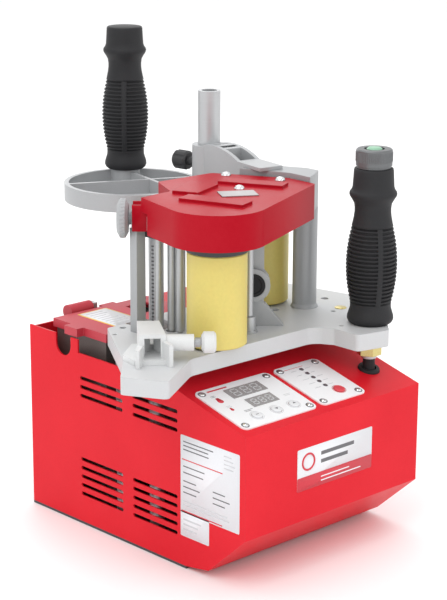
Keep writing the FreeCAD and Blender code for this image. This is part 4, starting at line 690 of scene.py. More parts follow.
def sheet(name: str, corners: Profile, thick: float, material: bpy.types.Material) -> bpy.types.Object:
    """A thin flat plate about the origin.

    Args:
        name: The piece's name.
        corners: Its outline, counter-clockwise.
        thick: Its thickness.
        material: Its material.

    Returns:
        The piece, from height 0 to thick.
    """
    shape = bmesh.new()
    low = [shape.verts.new((x, y, 0.0)) for x, y in corners]
    high = [shape.verts.new((x, y, thick)) for x, y in corners]
    shape.faces.new(list(reversed(low)))
    shape.faces.new(high)
    count = len(corners)
    for index in range(count):
        after = (index + 1) % count
        shape.faces.new((low[index], low[after], high[after], high[index]))
    return link_mesh(name, shape, material)


def rounded_corners(width: float, height: float, radius: float, steps: int = 6) -> Profile:
    """The outline of a rectangle with round corners.

    Args:
        width: Its width.
        height: Its height.
        radius: The corners' radius.
        steps: Facets of each corner.

    Returns:
        The outline, counter-clockwise, with the lower left corner at the origin.
    """
    outline = []
    for x, y, start in (
        (width - radius, radius, -90.0), (width - radius, height - radius, 0.0),
        (radius, height - radius, 90.0), (radius, radius, 180.0),
    ):
        for step in range(steps + 1):
            turn = math.radians(start + 90.0 * step / steps)
            outline.append((x + radius * math.cos(turn), y + radius * math.sin(turn)))
    return outline


def span(node: str) -> tuple[Vector, Vector, Vector]:
    """Lowest corner, highest corner and middle of a CAD node."""
    low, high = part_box(node)
    return low, high, (low + high) / 2.0


def joint_line(body: str) -> tuple[Vector, Vector]:
    """The line that a body moves about or along.

    Args:
        body: The moving body.

    Returns:
        A point of the line, which is the origin for a slide that states none, and its direction.
    """
    joint = next(item for item in frame["joints"] if item["child"] == body)
    return Vector(joint.get("pos_m") or (0.0, 0.0, 0.0)), Vector(joint["axis"]).normalized()


# ---------------------------------------------------------------- repeated shapes

class Trees:
    """The Geometry Nodes trees that the sub-assemblies share."""

    def __init__(self) -> None:
        """Build each tree."""
        self.ribs = self._ribs()
        self.knurl = self._knurl()
        self.rows = self._rows()
        self.digits = self._digits()
        self.rings = self._rings()
        self.coil = self._coil()

    @staticmethod
    def _ribs() -> GeometryTree:
        """Rings up an upright axis that swell towards the middle of the run.

        Returns:
            The finished tree.
        """
        tree = GeometryTree("GripRibs", {
            "Ribs": 19, "Pitch": 0.0032, "Radius": 0.018, "Bow": 0.13, "Land": 0.0018, "Depth": 0.0024,
        })
        count = tree.size("Ribs")
        points = tree.line(count, (0.0, 0.0, 0.0), tree.vector(z=tree.size("Pitch")))
        circle = tree.circle(72, tree.size("Radius"))
        section = tree.add(
            "GeometryNodeCurvePrimitiveQuadrilateral", None,
            {"Width": tree.size("Depth"), "Height": tree.size("Land")},
        )
        eased = tree.add(
            "GeometryNodeFilletCurve", None, {"Curve": section, "Radius": tree.size("Land") * 0.32},
        )
        ring = tree.add("GeometryNodeCurveToMesh", None, {"Curve": circle, "Profile Curve": eased})
        across = tree.index() / (count - 1.0) * 2.0 - 1.0
        swell = (1.0 - across * across) * tree.size("Bow") + 1.0
        return tree.close(tree.copies(points, ring, Scale=tree.vector(swell, swell, 1.0)))

    @staticmethod
    def _knurl() -> GeometryTree:
        """Upright ridges round an upright axis.

        Returns:
            The finished tree.
        """
        tree = GeometryTree("Knurl", {"Ridges": 60, "Radius": 0.0144, "Height": 0.008, "Width": 0.0009})
        ridges = tree.size("Ridges")
        circle = tree.add(
            "GeometryNodeMeshCircle", None, {"Vertices": ridges, "Radius": tree.size("Radius")},
        )
        ridge = tree.bar(tree.size("Width"), tree.size("Width"), tree.size("Height"))
        turn = (tree.index() / ridges) * (2.0 * math.pi) + math.pi / 4.0
        return tree.close(tree.copies(circle, ridge, Rotation=tree.vector(z=turn)))

    @staticmethod
    def _rows() -> GeometryTree:
        """Plain dashes in rows, each row of its own length.

        Returns:
            The finished tree.
        """
        tree = GeometryTree("PrintedRows", {
            "Rows": 4, "Pitch": 0.003, "Length": 0.02, "Thick": 0.001, "Depth": 0.00008, "Seed": 3,
        })
        points = tree.line(tree.size("Rows"), (0.0, 0.0, 0.0), tree.vector(y=tree.size("Pitch") * -1.0))
        dash = tree.add("GeometryNodeTransform", None, {
            "Geometry": tree.bar(1.0, tree.size("Thick"), tree.size("Depth")), "Translation": (0.5, 0.0, 0.0),
        })
        reach = tree.add(
            "FunctionNodeRandomValue", {"data_type": "FLOAT"},
            {"Min": 0.55, "Max": 1.0, "Seed": tree.size("Seed")},
        )
        length = Value(tree, next(item for item in reach.outputs if item.enabled)) * tree.size("Length")
        return tree.close(tree.copies(points, dash, Scale=tree.vector(length, 1.0, 1.0)))

    @staticmethod
    def _digits() -> GeometryTree:
        """A row of figure eights of seven bars each.

        Returns:
            The finished tree.
        """
        tree = GeometryTree("Digits", {
            "Digits": 3, "Pitch": 0.010, "Width": 0.006, "Height": 0.009, "Stroke": 0.0012, "Depth": 0.00008,
        })
        width, height = tree.size("Width"), tree.size("Height")
        stroke, depth = tree.size("Stroke"), tree.size("Depth")
        levels = tree.line(3, tree.vector(y=height * -0.5), tree.vector(y=height * 0.5))
        flat = tree.copies(levels, tree.bar(width - stroke * 1.6, stroke, depth))
        posts = tree.add(
            "GeometryNodeMeshGrid", None,
            {"Size X": width - stroke * 0.4, "Size Y": height * 0.5, "Vertices X": 2, "Vertices Y": 2},
        )
        upright = tree.copies(posts, tree.bar(stroke, height * 0.5 - stroke * 1.2, depth))
        places = tree.line(tree.size("Digits"), (0.0, 0.0, 0.0), tree.vector(x=tree.size("Pitch")))
        return tree.close(tree.copies(places, tree.join(flat, upright)))

    @staticmethod
    def _rings() -> GeometryTree:
        """Flat rings on the corners of a rectangle.

        Returns:
            The finished tree.
        """
        tree = GeometryTree("ScrewRings", {
            "Across": 0.05, "Along": 0.04, "Radius": 0.0032, "Wire": 0.0005, "Columns": 2, "Rows": 2,
        })
        grid = tree.add("GeometryNodeMeshGrid", None, {
            "Size X": tree.size("Across"), "Size Y": tree.size("Along"),
            "Vertices X": tree.size("Columns"), "Vertices Y": tree.size("Rows"),
        })
        circle, wire = tree.circle(32, tree.size("Radius")), tree.circle(8, tree.size("Wire"))
        ring = tree.add("GeometryNodeCurveToMesh", None, {"Curve": circle, "Profile Curve": wire})
        return tree.close(tree.copies(grid, ring))

    @staticmethod
    def _coil() -> GeometryTree:
        """A wire coil along an upright axis.

        Returns:
            The finished tree.
        """
        tree = GeometryTree("Coil", {"Turns": 5.0, "Radius": 0.003, "Length": 0.007, "Wire": 0.0005})
        radius = tree.size("Radius")
        path = tree.add("GeometryNodeCurveSpiral", None, {
            "Resolution": 28, "Rotations": tree.size("Turns"), "Start Radius": radius, "End Radius": radius,
            "Height": tree.size("Length"),
        })
        wire = tree.circle(10, tree.size("Wire"))
        section = {"Curve": path, "Profile Curve": wire, "Fill Caps": True}
        return tree.close(tree.add("GeometryNodeCurveToMesh", None, section))


# ---------------------------------------------------------------- sub-assemblies

@dataclass(frozen=True)
class Dashes:
    """Printed rows of plain dashes, with every length in millimetres."""

    rows: int
    length: float
    thick: float
    seed: int
    pitch: float = 3.0


@dataclass
class Kit:
    """What every sub-assembly builds with."""

    finishes: Finishes
    trees: Trees

    def flat(self, name: str, tree: GeometryTree, ink: str, place: Matrix, slot: str,
             body: str = "housing", **sizes: Number) -> bpy.types.Object:
        """Make a repeated shape and put it in place.

        Args:
            name: The piece's name.
            tree: The tree that makes it.
            ink: The material's name.
            place: Where it goes.
            slot: The record's slot.
            body: The body it rides on.
            sizes: The tree's named inputs.

        Returns:
            The piece.
        """
        piece = tree.make(name, self.finishes[ink], **sizes)
        piece.data.transform(place)
        return settle(piece, body, slot)

    def dashes(self, name: str, ink: str, place: Matrix, print_rows: Dashes,
               slot: str = "panel_face", body: str = "housing") -> None:
        """Print rows of dashes.

        Args:
            name: The piece's name.
            ink: The material's name.
            place: The left end of the first row.
            print_rows: How many rows, and their sizes.
            slot: The record's slot.
            body: The body it rides on.
        """
        self.flat(
            name, self.trees.rows, ink, place, slot, body, Rows=print_rows.rows,
            Pitch=print_rows.pitch * MM, Length=print_rows.length * MM,
            Thick=print_rows.thick * MM, Seed=print_rows.seed,
        )

    def ring(self, name: str, ink: str, place: Matrix, slot: str, radius: float, wire: float) -> None:
        """Print one ring.

        Args:
            name: The piece's name.
            ink: The material's name.
            place: The ring's middle.
            slot: The record's slot.
            radius: The ring's radius in millimetres.
            wire: Half its stroke in millimetres.
        """
        self.flat(
            name, self.trees.rings, ink, place, slot, Across=0.0, Along=0.0,
            Columns=1, Rows=1, Radius=radius * MM, Wire=wire * MM,
        )


@dataclass
class Grip:
    """A ribbed rubber grip over a tube."""

    kit: Kit
    node: str
    body: str
    strip_turn: float
    ribs: int = 19
    pitch_share: float = 0.51 / 20
    low_share: float = 0.135
    swell_share: float = 0.3825
    swell_half: float = 0.2625
    swell_height: float = 0.033
    waist: float = 0.85
    radius_share: float = 0.15
    floor_depth: float = 1.7 * MM
    rib_depth: float = 2.3 * MM
    strip_width: float = 4.2 * MM

    FOOT = (
        (0.0, 0.83), (0.012, 0.93), (0.03, 0.985), (0.05, 0.975), (0.075, 0.925), (0.10, 0.873),
        (0.125, 0.862),
    )
    CROWN = (
        (0.645, 0.85), (0.69, 0.79), (0.72, 0.765), (0.745, 0.765), (0.775, 0.79), (0.80, 0.88),
        (0.822, 0.975), (0.835, 1.0), (0.848, 0.985), (0.862, 0.915), (0.88, 0.872), (0.93, 0.85),
        (0.985, 0.83), (0.996, 0.81), (1.0, 0.77),
    )
    FOOT_STEPS = (0.0, 0.012, 0.022, 0.03, 0.04, 0.05, 0.062, 0.075, 0.09, 0.10, 0.115, 0.13)
    CROWN_STEPS = (
        0.63, 0.631, 0.645, 0.67, 0.69, 0.705, 0.72, 0.735, 0.745, 0.76, 0.775, 0.788, 0.80, 0.812,
        0.822, 0.835, 0.848, 0.855, 0.862, 0.87, 0.88, 0.9, 0.93, 0.96, 0.985, 0.996, 1.0,
    )
    STRIP_SECTION = ((-1.25, 1.9), (-1.0, 0.12), (-0.5, 0.0), (0.5, 0.0), (1.0, 0.12), (1.25, 1.9))

    def __post_init__(self) -> None:
        """Measure the grip's CAD node."""
        low, high, middle = span(self.node)
        self.length = high.z - low.z
        self.reach = self.radius_share * self.length
        self.foot = Vector((middle.x, middle.y, low.z))
        self.pitch = self.pitch_share * self.length
        self.low = self.low_share * self.length
        self.high = self.low + self.pitch * (self.ribs + 0.42)

    def outer(self, share: float) -> float:
        """The outside radius at a share of the grip's height.

        Args:
            share: Nought at the foot, one at the top.

        Returns:
            The radius in metres.
        """
        for knots in (self.FOOT, self.CROWN):
            if knots[0][0] <= share <= knots[-1][0]:
                for (low, first), (high, second) in zip(knots, knots[1:]):
                    if share <= high:
                        return self.reach * (first + (second - first) * (share - low) / (high - low))
        across = (share - self.swell_share) / self.swell_half
        return self.reach * self.waist + (1.0 - across * across) * self.swell_height * self.length

    def build(self) -> None:
        """Make the moulding, its ribs and its plain strips."""
        start = self.low_share + 0.001
        heights = {*self.FOOT_STEPS, *self.CROWN_STEPS, self.low_share, start}
        heights.update(start + (0.645 - 0.138) * step / 22 for step in range(1, 22))
        profile = []
        for share in sorted(heights):
            radius = self.outer(share)
            if self.low < share * self.length <= self.high:
                radius -= self.floor_depth
            profile.append((radius, share * self.length))
        piece = lathe(self.node + "_moulding", profile, self.foot, self.kit.finishes["grip_rubber"])
        settle(piece, self.body, "grip_rubber", self.node)
        base = self.outer(0.148) - self.rib_depth / 2.0
        crown = self.outer(self.swell_share) - self.rib_depth / 2.0
        place = Matrix.Translation(self.foot + UP * (self.low + self.pitch * 0.71))
        self.kit.flat(
            self.node + "_ribs", self.kit.trees.ribs, "grip_rubber", place, "grip_rubber", self.body,
            Ribs=self.ribs, Pitch=self.pitch, Radius=base, Bow=crown / base - 1.0,
            Land=self.pitch * 0.56, Depth=self.rib_depth,
        )
        self.strips()

    def strips(self) -> None:
        """Two plain upright strips that cross the ribs on opposite sides."""
        shape = bmesh.new()
        steps, last = 24, len(self.STRIP_SECTION) - 1
        for side in (0.0, math.pi):
            turn = math.radians(self.strip_turn) + side
            rows = []
            for step in range(steps + 1):
                height = self.low + (self.high - self.low) * step / steps
                radius = self.outer(height / self.length)
                half = self.strip_width / 2.0 / radius
                row = (
                    around(radius + (0.05 - drop) * MM, turn + half * angle, height)
                    for angle, drop in self.STRIP_SECTION
                )
                rows.append([shape.verts.new(self.foot + spot) for spot in row])
            for first, second in zip(rows, rows[1:]):
                for index in range(last):
                    shape.faces.new((first[index], first[index + 1], second[index + 1], second[index]))
                shape.faces.new((first[last], first[0], second[0], second[last]))
            shape.faces.new(list(reversed(rows[0])))
            shape.faces.new(rows[-1])
        bmesh.ops.recalc_face_normals(shape, faces=shape.faces)
        piece = link_mesh(self.node + "_strips", shape, self.kit.finishes["grip_rubber"])
        settle(piece, self.body, "grip_rubber")


@dataclass
class Handles:
    """Both grips, and the knurling of the start button's collar."""

    kit: Kit
    ridges: int = 64
    ridge_width: float = 0.8 * MM

    def build(self) -> None:
        """Make the handles' pieces."""
        Grip(self.kit, "left_grip", "sole", strip_turn=226.0).build()
        Grip(self.kit, "right_grip", "housing", strip_turn=243.0).build()
        low, high, middle = span("handle_collar")
        tall = high.z - low.z
        place = Matrix.Translation(Vector((middle.x, middle.y, low.z + tall * 0.6)))
        self.kit.flat(
            "collar_knurling", self.kit.trees.knurl, "collar_metal", place, "collar_metal",
            Ridges=self.ridges, Radius=(high.x - low.x) / 2.0 - 0.25 * MM, Height=tall * 0.5,
            Width=self.ridge_width,
        )


@dataclass
class ControlPanels:
    """Print, digits, key marks and rings on the two plates of the slope."""

    kit: Kit
    inset: float = 5.0 * MM
    print_lift: float = 0.04 * MM
    ring_lift: float = 0.05 * MM
    symbol_thick: float = 0.08 * MM
    window_lift: float = 0.54 * MM

    DIGITS = (("upper_digits", 0.76, 0.54, 0.15, 0.115), ("lower_digits", 0.47, 0.56, 0.12, 0.085))
    SMALL_PRINT = (
        (0.11, 0.82, "print_grey", 6.0, 1), (0.12, 0.54, "print_pale", 7.0, 2),
        (0.24, 0.36, "print_grey", 10.0, 4), (0.83, 0.44, "print_pale", 8.0, 7),
    )
    MARKS = (("heat_mark", 0.68, 2.6 * MM), ("feed_mark", 0.45, 1.5 * MM))
    KEYS = (("select_key", 0.0), ("down_key", -1.0), ("up_key", 1.0))
    BAR = ((-1.4, -0.3), (1.4, -0.3), (1.4, 0.3), (-1.4, 0.3))
    ARROW = ((-1.6, -0.7), (1.6, -0.7), (0.0, 1.3))
    LAMP_PRINT = ((-11.5, 11), (4.0, 12))

    def __post_init__(self) -> None:
        """Find the slope from the stop key's travel."""
        out = -joint_line("stop_key")[1]
        self.right = Vector((1.0, 0.0, 0.0))
        self.up = out.cross(self.right)

    def facing(self, node: str) -> tuple[Facing, float, float]:
        """The upper face of a plate on the slope.

        Args:
            node: The plate's CAD node.

        Returns:
            Its place from its lower left corner, its width and its length.
        """
        low, high, _ = span(node)
        deep, rise = high.y - low.y, high.z - low.z
        cosine, sine = self.up.y, self.up.z
        length = (deep * cosine - rise * sine) / (cosine * cosine - sine * sine)
        thick = (deep - length * cosine) / sine
        origin = Vector((low.x, low.y, low.z + thick * cosine))
        return Facing(origin, self.right, self.up), high.x - low.x, length

    def spot(self, facing: Facing, node: str) -> tuple[float, float]:
        """Where a node's middle is on a plate."""
        offset = span(node)[2] - facing.origin
        return offset.dot(facing.right), offset.dot(facing.up)

    def build(self) -> None:
        """Print both plates."""
        self.display()
        self.indicator()

    def screws(self, name: str, facing: Facing, width: float, length: float) -> None:
        """A dark ring round each of a plate's four screws.

        Args:
            name: The piece's name.
            facing: The plate.
            width: The plate's width.
            length: The plate's length.
        """
        self.kit.flat(
            name, self.kit.trees.rings, "print_grey", facing.matrix(width / 2.0, length / 2.0, 0.1 * MM),
            "panel_face", Across=width - 2.0 * self.inset, Along=length - 2.0 * self.inset,
            Radius=2.9 * MM, Wire=0.35 * MM,
        )

    def display(self) -> None:
        """Digits, headings, marks and key symbols of the wider plate."""
        facing, width, length = self.facing("display_panel")
        self.screws("display_screw_rings", facing, width, length)
        for name, along, share, tall, wide in self.DIGITS:
            pitch = wide * width * 1.15
            self.kit.flat(
                name, self.kit.trees.digits, "print_pale",
                facing.matrix(width * share - pitch, length * along, self.window_lift), "display_dark",
                Pitch=pitch, Width=pitch * 0.62, Height=tall * length, Stroke=0.9 * MM,
            )
        heading = facing.matrix(width * 0.14, length * 0.93, self.print_lift)
        self.kit.dashes("heading_print", "print_red", heading, Dashes(1, 26.0, 1.6, 5), "key_red")
        for index, (x, y, ink, size, seed) in enumerate(self.SMALL_PRINT):
            place = facing.matrix(width * x, length * y, self.print_lift)
            self.kit.dashes(f"small_print_{index}", ink, place, Dashes(2, size, 0.5, seed, 1.5))
        for name, along, radius in self.MARKS:
            self.mark(name, facing.matrix(width * 0.15, length * along, 0.01 * MM), radius)
        for node, pointing in self.KEYS:
            self.key(facing, node, pointing)

    def mark(self, name: str, place: Matrix, radius: float) -> None:
        """A plain red drop shape.

        Args:
            name: The piece's name.
            place: Its middle.
            radius: The radius of its round part.
        """
        steps = 20
        outline = []
        for step in range(steps):
            rim = around(radius, 2.0 * math.pi * step / steps)
            outline.append((rim.x, rim.y + (radius * 0.9 if rim.y > radius * 0.8 else 0.0)))
        piece = sheet(name, outline, self.symbol_thick, self.kit.finishes["print_red"])
        piece.data.transform(place)
        settle(piece, "housing", "key_red")

    def key(self, facing: Facing, node: str, pointing: float) -> None:
        """The ring printed round a key and the symbol on it.

        Args:
            facing: The plate.
            node: The key.
            pointing: Which way its arrow points: 1 up, -1 down, 0 for a plain bar.
        """
        x, y = self.spot(facing, node)
        vertices = frame["nodes"][node].data.vertices
        high = max((Vector(vertex.co) - facing.origin).dot(facing.out) for vertex in vertices)
        place = facing.matrix(x, y, self.ring_lift)
        self.kit.ring(node + "_ring", "print_pale", place, "panel_face", 5.6, 0.14)
        outline, scale = self.BAR, MM
        if pointing:
            outline, scale = self.ARROW, pointing * MM
        corners = [(px * scale, py * scale) for px, py in outline]
        piece = sheet(node + "_symbol", corners, self.symbol_thick, self.kit.finishes["print_grey"])
        piece.data.transform(facing.matrix(x, y, high - 0.01 * MM))
        settle(piece, node, "key_grey")

    def indicator(self) -> None:
        """Heading line, lamp bezels and the rings of the narrower plate."""
        facing, width, length = self.facing("indicator_panel")
        self.screws("indicator_screw_rings", facing, width, length)
        heading = facing.matrix(width * 0.18, length * 0.91, self.print_lift)
        self.kit.dashes("indicator_heading", "print_red", heading, Dashes(1, 32.0, 0.5, 8), "key_red")
        x, y = self.spot(facing, "status_lamps")
        pitch = length * 0.115
        place = facing.matrix(x, y, self.ring_lift)
        self.kit.flat(
            "lamp_bezels", self.kit.trees.rings, "print_grey", place, "lamp_dark",
            Across=0.0, Along=pitch * 4.0, Columns=1, Rows=5, Radius=1.75 * MM, Wire=0.25 * MM,
        )
        for start, seed in self.LAMP_PRINT:
            place = facing.matrix(x + start * MM, y + pitch * 2.0, self.print_lift)
            self.kit.dashes(f"lamp_print_{seed}", "print_pale", place, Dashes(5, 7.0, 0.6, seed, pitch / MM))
        x, y = self.spot(facing, "stop_key")
        self.kit.ring("stop_ring", "print_red", facing.matrix(x, y, self.ring_lift), "panel_face", 5.6, 0.2)


@dataclass
class Labels:
    """Plain stickers with dashes: on the left wall, the front and the pot's lid."""

    kit: Kit
    thick: float = 0.15 * MM
    rating_corner: tuple[float, float] = (-0.057, 0.046)
    tab_height: float = 0.0265
    front_corner: tuple[float, float] = (-0.042, 0.0665)
    lid_corner: tuple[float, float] = (-0.068, 0.052)
    lid_probe: tuple[float, float, float] = (-0.053, 0.077, 0.2)
    lid_border: float = 1.6 * MM

    RULES = (("rating_upper_rule", 43.5), ("rating_lower_rule", 1.4))
    RATING = (
        (3.0, 58.0, "print_grey", Dashes(3, 38.0, 0.9, 20, 3.2)),
        (3.0, 38.0, "print_grey", Dashes(2, 26.0, 0.9, 21, 5.0)),
        (3.0, 26.0, "print_grey", Dashes(3, 20.0, 0.9, 22, 4.6)),
        (36.0, 26.0, "print_grey", Dashes(3, 20.0, 0.9, 23, 4.6)),
        (48.0, 58.0, "print_pale", Dashes(4, 13.0, 0.9, 24, 3.2)),
        (3.0, 9.5, "print_pale", Dashes(2, 56.0, 0.9, 25, 3.0)),
    )

    def sticker(self, name: str, facing: Facing, width: float, height: float, ink: str, lift: float = 0.0,
                slot: str = "panel_face", body: str = "housing") -> None:
        """One sticker with round corners.

        Args:
            name: The piece's name.
            facing: Its lower left corner.
            width: Its width in millimetres.
            height: Its height in millimetres.
            ink: The material's name.
            lift: How far off the surface it starts.
            slot: The record's slot.
            body: The body it rides on.
        """
        outline = rounded_corners(width * MM, height * MM, 1.2 * MM)
        piece = sheet(name, outline, self.thick, self.kit.finishes[ink])
        piece.data.transform(facing.matrix(0.0, 0.0, lift))
        settle(piece, body, slot)

    def build(self) -> None:
        """Make the three stickers."""
        low = span("housing_shell")[0]
        self.rating(low.x)
        self.front(low.y)
        self.lid()

    def rating(self, wall: float) -> None:
        """The sticker low on the left wall at that x, with a narrower tab under it.

        Args:
            wall: The wall's place along x.
        """
        y, z = self.rating_corner
        facing = Facing(Vector((wall, y, z)), Vector((0.0, -1.0, 0.0)), UP)
        tab = Facing(Vector((wall, y, self.tab_height)), facing.right, UP)
        self.sticker("rating_label", facing, 65.0, 63.0, "label_white")
        self.sticker("rating_tab", tab, 32.0, 21.0, "label_white")
        for name, height in self.RULES:
            place = facing.matrix(1.5 * MM, height * MM, self.thick)
            self.kit.dashes(name, "print_red", place, Dashes(1, 62.0 / 0.9, 0.9, 2))
        for index, (x, height, ink, rows) in enumerate(self.RATING):
            place = facing.matrix(x * MM, height * MM, self.thick)
            self.kit.dashes(f"rating_print_{index}", ink, place, rows)
        place = tab.matrix(3.0 * MM, 14.0 * MM, self.thick)
        self.kit.dashes("rating_tab_print", "print_pale", place, Dashes(3, 26.0, 1.4, 31, 4.0))

    def front(self, wall: float) -> None:
        """The two-tone sticker in the middle of the front wall at that y.

        Args:
            wall: The wall's place along y.
        """
        x, z = self.front_corner
        facing = Facing(Vector((x, wall, z)), Vector((1.0, 0.0, 0.0)), UP)
        self.sticker("front_label", facing, 84.0, 34.0, "label_white")
        self.sticker("front_label_band", facing, 84.0, 11.0, "print_red", self.thick, "key_red")
        place = facing.matrix(26.0 * MM, 26.0 * MM, self.thick)
        self.kit.dashes("front_print", "print_grey", place, Dashes(2, 46.0, 3.0, 41, 6.5))
        place = facing.matrix(26.0 * MM, 7.0 * MM, self.thick * 2.0)
        self.kit.dashes("front_band_print", "label_white", place, Dashes(2, 48.0, 0.9, 42, 3.2))
        place = facing.matrix(12.0 * MM, 22.5 * MM, self.thick)
        self.kit.ring("front_emblem", "print_red", place, "key_red", 6.5, 0.8)

    def lid(self) -> None:
        """The yellow-framed sticker on the glue pot's lid."""
        bpy.context.view_layer.update()
        top = frame["nodes"]["pot_lid"].ray_cast(Vector(self.lid_probe), -UP)[1].z
        facing = Facing(Vector((*self.lid_corner, top)), Vector((1.0, 0.0, 0.0)), Vector((0.0, 1.0, 0.0)))
        self.sticker("lid_label", facing, 31.0, 50.0, "label_yellow", slot="key_red", body="pot_lid")
        border = Vector((self.lid_border, self.lid_border, 0.0))
        inner = Facing(facing.origin + border, facing.right, facing.up)
        self.sticker("lid_label_field", inner, 27.8, 46.8, "label_white", self.thick, body="pot_lid")
        place = inner.matrix(3.0 * MM, 42.0 * MM, self.thick * 2.0)
        self.kit.dashes("lid_print", "print_pale", place, Dashes(8, 22.0, 2.0, 51, 5.0), body="pot_lid")


@dataclass
class GuideClamp:
    """The coil spring behind the tape guide's knob."""

    kit: Kit
    wire: float = 0.45 * MM
    turns: float = 5.0

    def build(self) -> None:
        """Wind the spring along the knob's axis."""
        origin, axis = joint_line("guide_knob")
        offsets = [Vector(vertex.co) - origin for vertex in frame["nodes"]["guide_spring"].data.vertices]
        along = [offset.dot(axis) for offset in offsets]
        radius = max((offset - axis * far).length for offset, far in zip(offsets, along))
        turn = UP.rotation_difference(axis).to_matrix().to_4x4()
        piece = self.kit.trees.coil.make(
            "guide_spring_coil", self.kit.finishes["bright_steel"], Turns=self.turns,
            Radius=radius - self.wire, Length=max(along) - min(along) - 2.0 * self.wire, Wire=self.wire,
        )
        piece.data.transform(Matrix.Translation(origin + axis * (min(along) + self.wire)) @ turn)
        settle(piece, "housing", "bright_steel", "guide_spring")


@dataclass
class HeadTrim:
    """The cover's sleeve round the casting's ear, and small fittings of head and plate."""

    kit: Kit
    half: float = 9.8 * MM
    wall: float = 2.0 * MM
    soft: float = 1.4 * MM
    reach: float = 32.0 * MM
    gap: float = 0.6 * MM
    roof: float = 7.3 * MM
    drop: float = 9.2 * MM
    notch: float = 3.2 * MM
    plug_offset: tuple[float, float] = (14.2 * MM, 45.3 * MM)
    plug_radius: float = 5.0 * MM
    notches: int = 22
    roller_radius: float = 6.0 * MM
    roller_side: tuple[float, float] = (-0.913, -0.407)

    def build(self) -> None:
        """Make the trim."""
        self.sleeve()
        self.plug()
        self.scale()

    def profile(self, low: float, roof: float, top: float) -> Profile:
        """The sleeve's section: an upturned channel with a shallow hollow along its top.

        Args:
            low: Height of its foot.
            roof: Height of its inner side.
            top: Height of its shoulders.

        Returns:
            The outline, counter-clockwise.
        """
        half, inner, soft, steps = self.half, self.half - self.wall, self.soft, 12
        outline = [(-half, low), (-inner, low), (-inner, roof), (inner, roof), (inner, low), (half, low)]
        outline += [(half, top - soft), (half - soft * 0.3, top - soft * 0.3), (half - soft, top)]
        for step in range(steps + 1):
            turn = math.pi * step / steps
            outline.append((inner * 0.7 * math.cos(turn), top - self.notch * math.sin(turn)))
        return outline + [(soft - half, top), (soft * 0.3 - half, top - soft * 0.3), (-half, top - soft)]

    def sleeve(self) -> None:
        """Cover the ear between the cap and the knurled wheel."""
        mouth, inward = joint_line("thumb_wheel")
        low, high, middle = span("head_cover")
        if (middle - mouth).dot(inward) < 0.0:
            inward = -inward
        start = mouth + inward * self.reach
        facing = Facing(Vector((start.x, start.y, 0.0)), UP.cross(-inward), UP)
        outline = self.profile(low.z + self.gap, mouth.z + self.roof, high.z - self.drop)
        paint = self.kit.finishes["red_cover_paint"]
        piece = sheet("cover_ear_sleeve", outline, self.reach - self.gap, paint)
        piece.data.transform(facing.matrix())
        settle(piece, "housing", "red_cover_paint")

    def plug(self) -> None:
        """A brass plug set into the plate beside the right grip."""
        nut = span("handle_nut")[2]
        across, along = self.plug_offset
        place = Vector((nut.x + across, nut.y + along, span("top_plate")[1].z))
        radius = self.plug_radius
        profile = [(radius, -1.0 * MM), (radius, 0.3 * MM), (radius - 0.5 * MM, 0.7 * MM)]
        piece = lathe("plate_plug", profile, place, self.kit.finishes["nut_brass"])
        settle(piece, "housing", "nut_brass")

    def scale(self) -> None:
        """A row of short notches up the glue roller."""
        low, high, middle = span("glue_roller")
        out = Vector((*self.roller_side, 0.0)).normalized()
        origin = Vector((middle.x, middle.y, 0.0)) + out * self.roller_radius
        facing = Facing(origin, UP.cross(out), UP)
        self.kit.flat(
            "glue_roller_notches", self.kit.trees.rows, "print_grey",
            facing.matrix(-1.2 * MM, high.z - 14.0 * MM), "bright_steel", "glue_applicator",
            Rows=self.notches, Pitch=(high.z - low.z) * 0.62 / self.notches,
            Length=2.6 * MM, Thick=1.2 * MM, Depth=0.3 * MM, Seed=61,
        )


@dataclass(frozen=True)
class Lamp:
    """One soft round light."""

    name: str
    spot: tuple[float, float, float]
    size: float
    power: float

    def hang(self, target: Vector) -> None:
        """Hang the light, facing the target.

        Args:
            target: What it faces.
        """
        light = bpy.data.lights.new(self.name, "AREA")
        light.shape = "DISK"
        light.size = self.size
        light.energy = self.power
        lamp = bpy.data.objects.new(self.name, light)
        bpy.context.scene.collection.objects.link(lamp)
        spot = Vector(self.spot)
        turn = (spot - target).to_track_quat("Z", "Y").to_matrix().to_4x4()
        lamp.matrix_world = Matrix.Translation(spot) @ turn


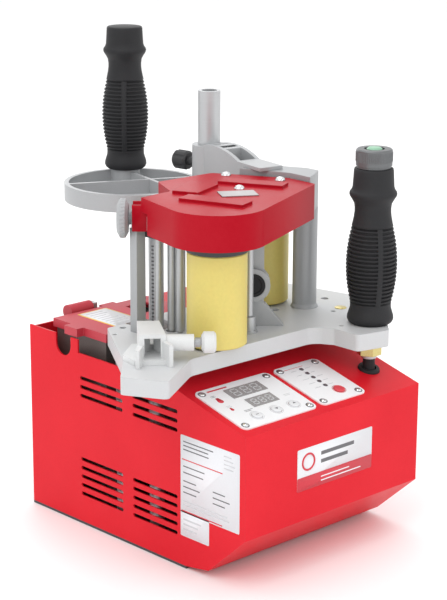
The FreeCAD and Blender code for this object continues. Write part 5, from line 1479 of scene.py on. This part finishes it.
@dataclass
class Studio:
    """Floor, light and camera."""

    eye: Vector = field(default_factory=lambda: Vector((-0.9917, -1.0418, 0.5797)))
    heading: float = 43.64
    dip: float = 15.33
    roll: float = 0.28
    lens: float = 110.7
    brightness: float = 1.04
    floor_half: float = 6.0
    floor_level: float = -0.0002
    middle: float = 0.16

    LAMPS = (
        Lamp("key", (-1.3, -0.5, 1.5), 1.2, 6.0),
        Lamp("front", (0.6, -1.6, 1.0), 1.4, 3.5),
        Lamp("top", (0.1, 0.4, 1.9), 1.6, 8.0),
        Lamp("rear", (0.9, 1.5, 1.0), 1.2, 3.0),
    )

    def build(self) -> None:
        """Set up the studio."""
        self.world()
        self.floor()
        for lamp in self.LAMPS:
            lamp.hang(Vector((0.0, 0.0, self.middle)))
        self.camera()

    def world(self) -> None:
        """An even white surround."""
        world = bpy.data.worlds.new("Studio")
        bpy.context.scene.world = world
        world.use_nodes = True
        world.node_tree.nodes.clear()
        graph = Graph(world.node_tree)
        shade = graph.add(
            "ShaderNodeBackground", None,
            {"Color": (1.0, 1.0, 1.0, 1.0), "Strength": self.brightness},
        )
        graph.add("ShaderNodeOutputWorld", None, {"Surface": shade})
        bpy.context.scene.view_settings.view_transform = "Standard"

    def floor(self) -> None:
        """A wide pale floor under the base."""
        shape = bmesh.new()
        half = self.floor_half
        shape.faces.new([
            shape.verts.new((x * half, y * half, self.floor_level))
            for x, y in ((-1, -1), (1, -1), (1, 1), (-1, 1))
        ])
        graph = MaterialGraph("studio_floor")
        tone = graph.blend(graph.noise(3.0, 2.0), (0.96, 0.96, 0.96), (0.99, 0.99, 0.99))
        material = graph.shade({"Base Color": tone, "Roughness": 0.6})
        link_mesh("studio_floor", shape, material)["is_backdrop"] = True

    def camera(self) -> None:
        """The camera at the main view."""
        data = bpy.data.cameras.new("main_view")
        data.sensor_fit = "VERTICAL"
        data.sensor_height = 36.0
        data.lens = self.lens
        data.clip_end = 50.0
        camera = bpy.data.objects.new("main_view", data)
        bpy.context.scene.collection.objects.link(camera)
        aim = (
            Matrix.Rotation(math.radians(-self.heading), 4, "Z")
            @ Matrix.Rotation(math.radians(90.0 - self.dip), 4, "X")
            @ Matrix.Rotation(math.radians(self.roll), 4, "Z")
        )
        camera.matrix_world = Matrix.Translation(self.eye) @ aim
        bpy.context.scene.camera = camera


def main() -> None:
    """Build the machine's looks, piece by piece."""
    logging.basicConfig(level=logging.INFO, format="%(name)s: %(message)s")
    finishes = Finishes()
    finishes.dress_frame()
    kit = Kit(finishes, Trees())
    for assembly in (
        Studio(), Handles(kit), ControlPanels(kit), Labels(kit), GuideClamp(kit), HeadTrim(kit),
    ):
        assembly.build()
        LOG.info("built %s", type(assembly).__name__)
    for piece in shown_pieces():
        LOG.info("piece %s: %d faces", piece.name, len(piece.data.polygons))


if __name__ == "__main__":
    main()
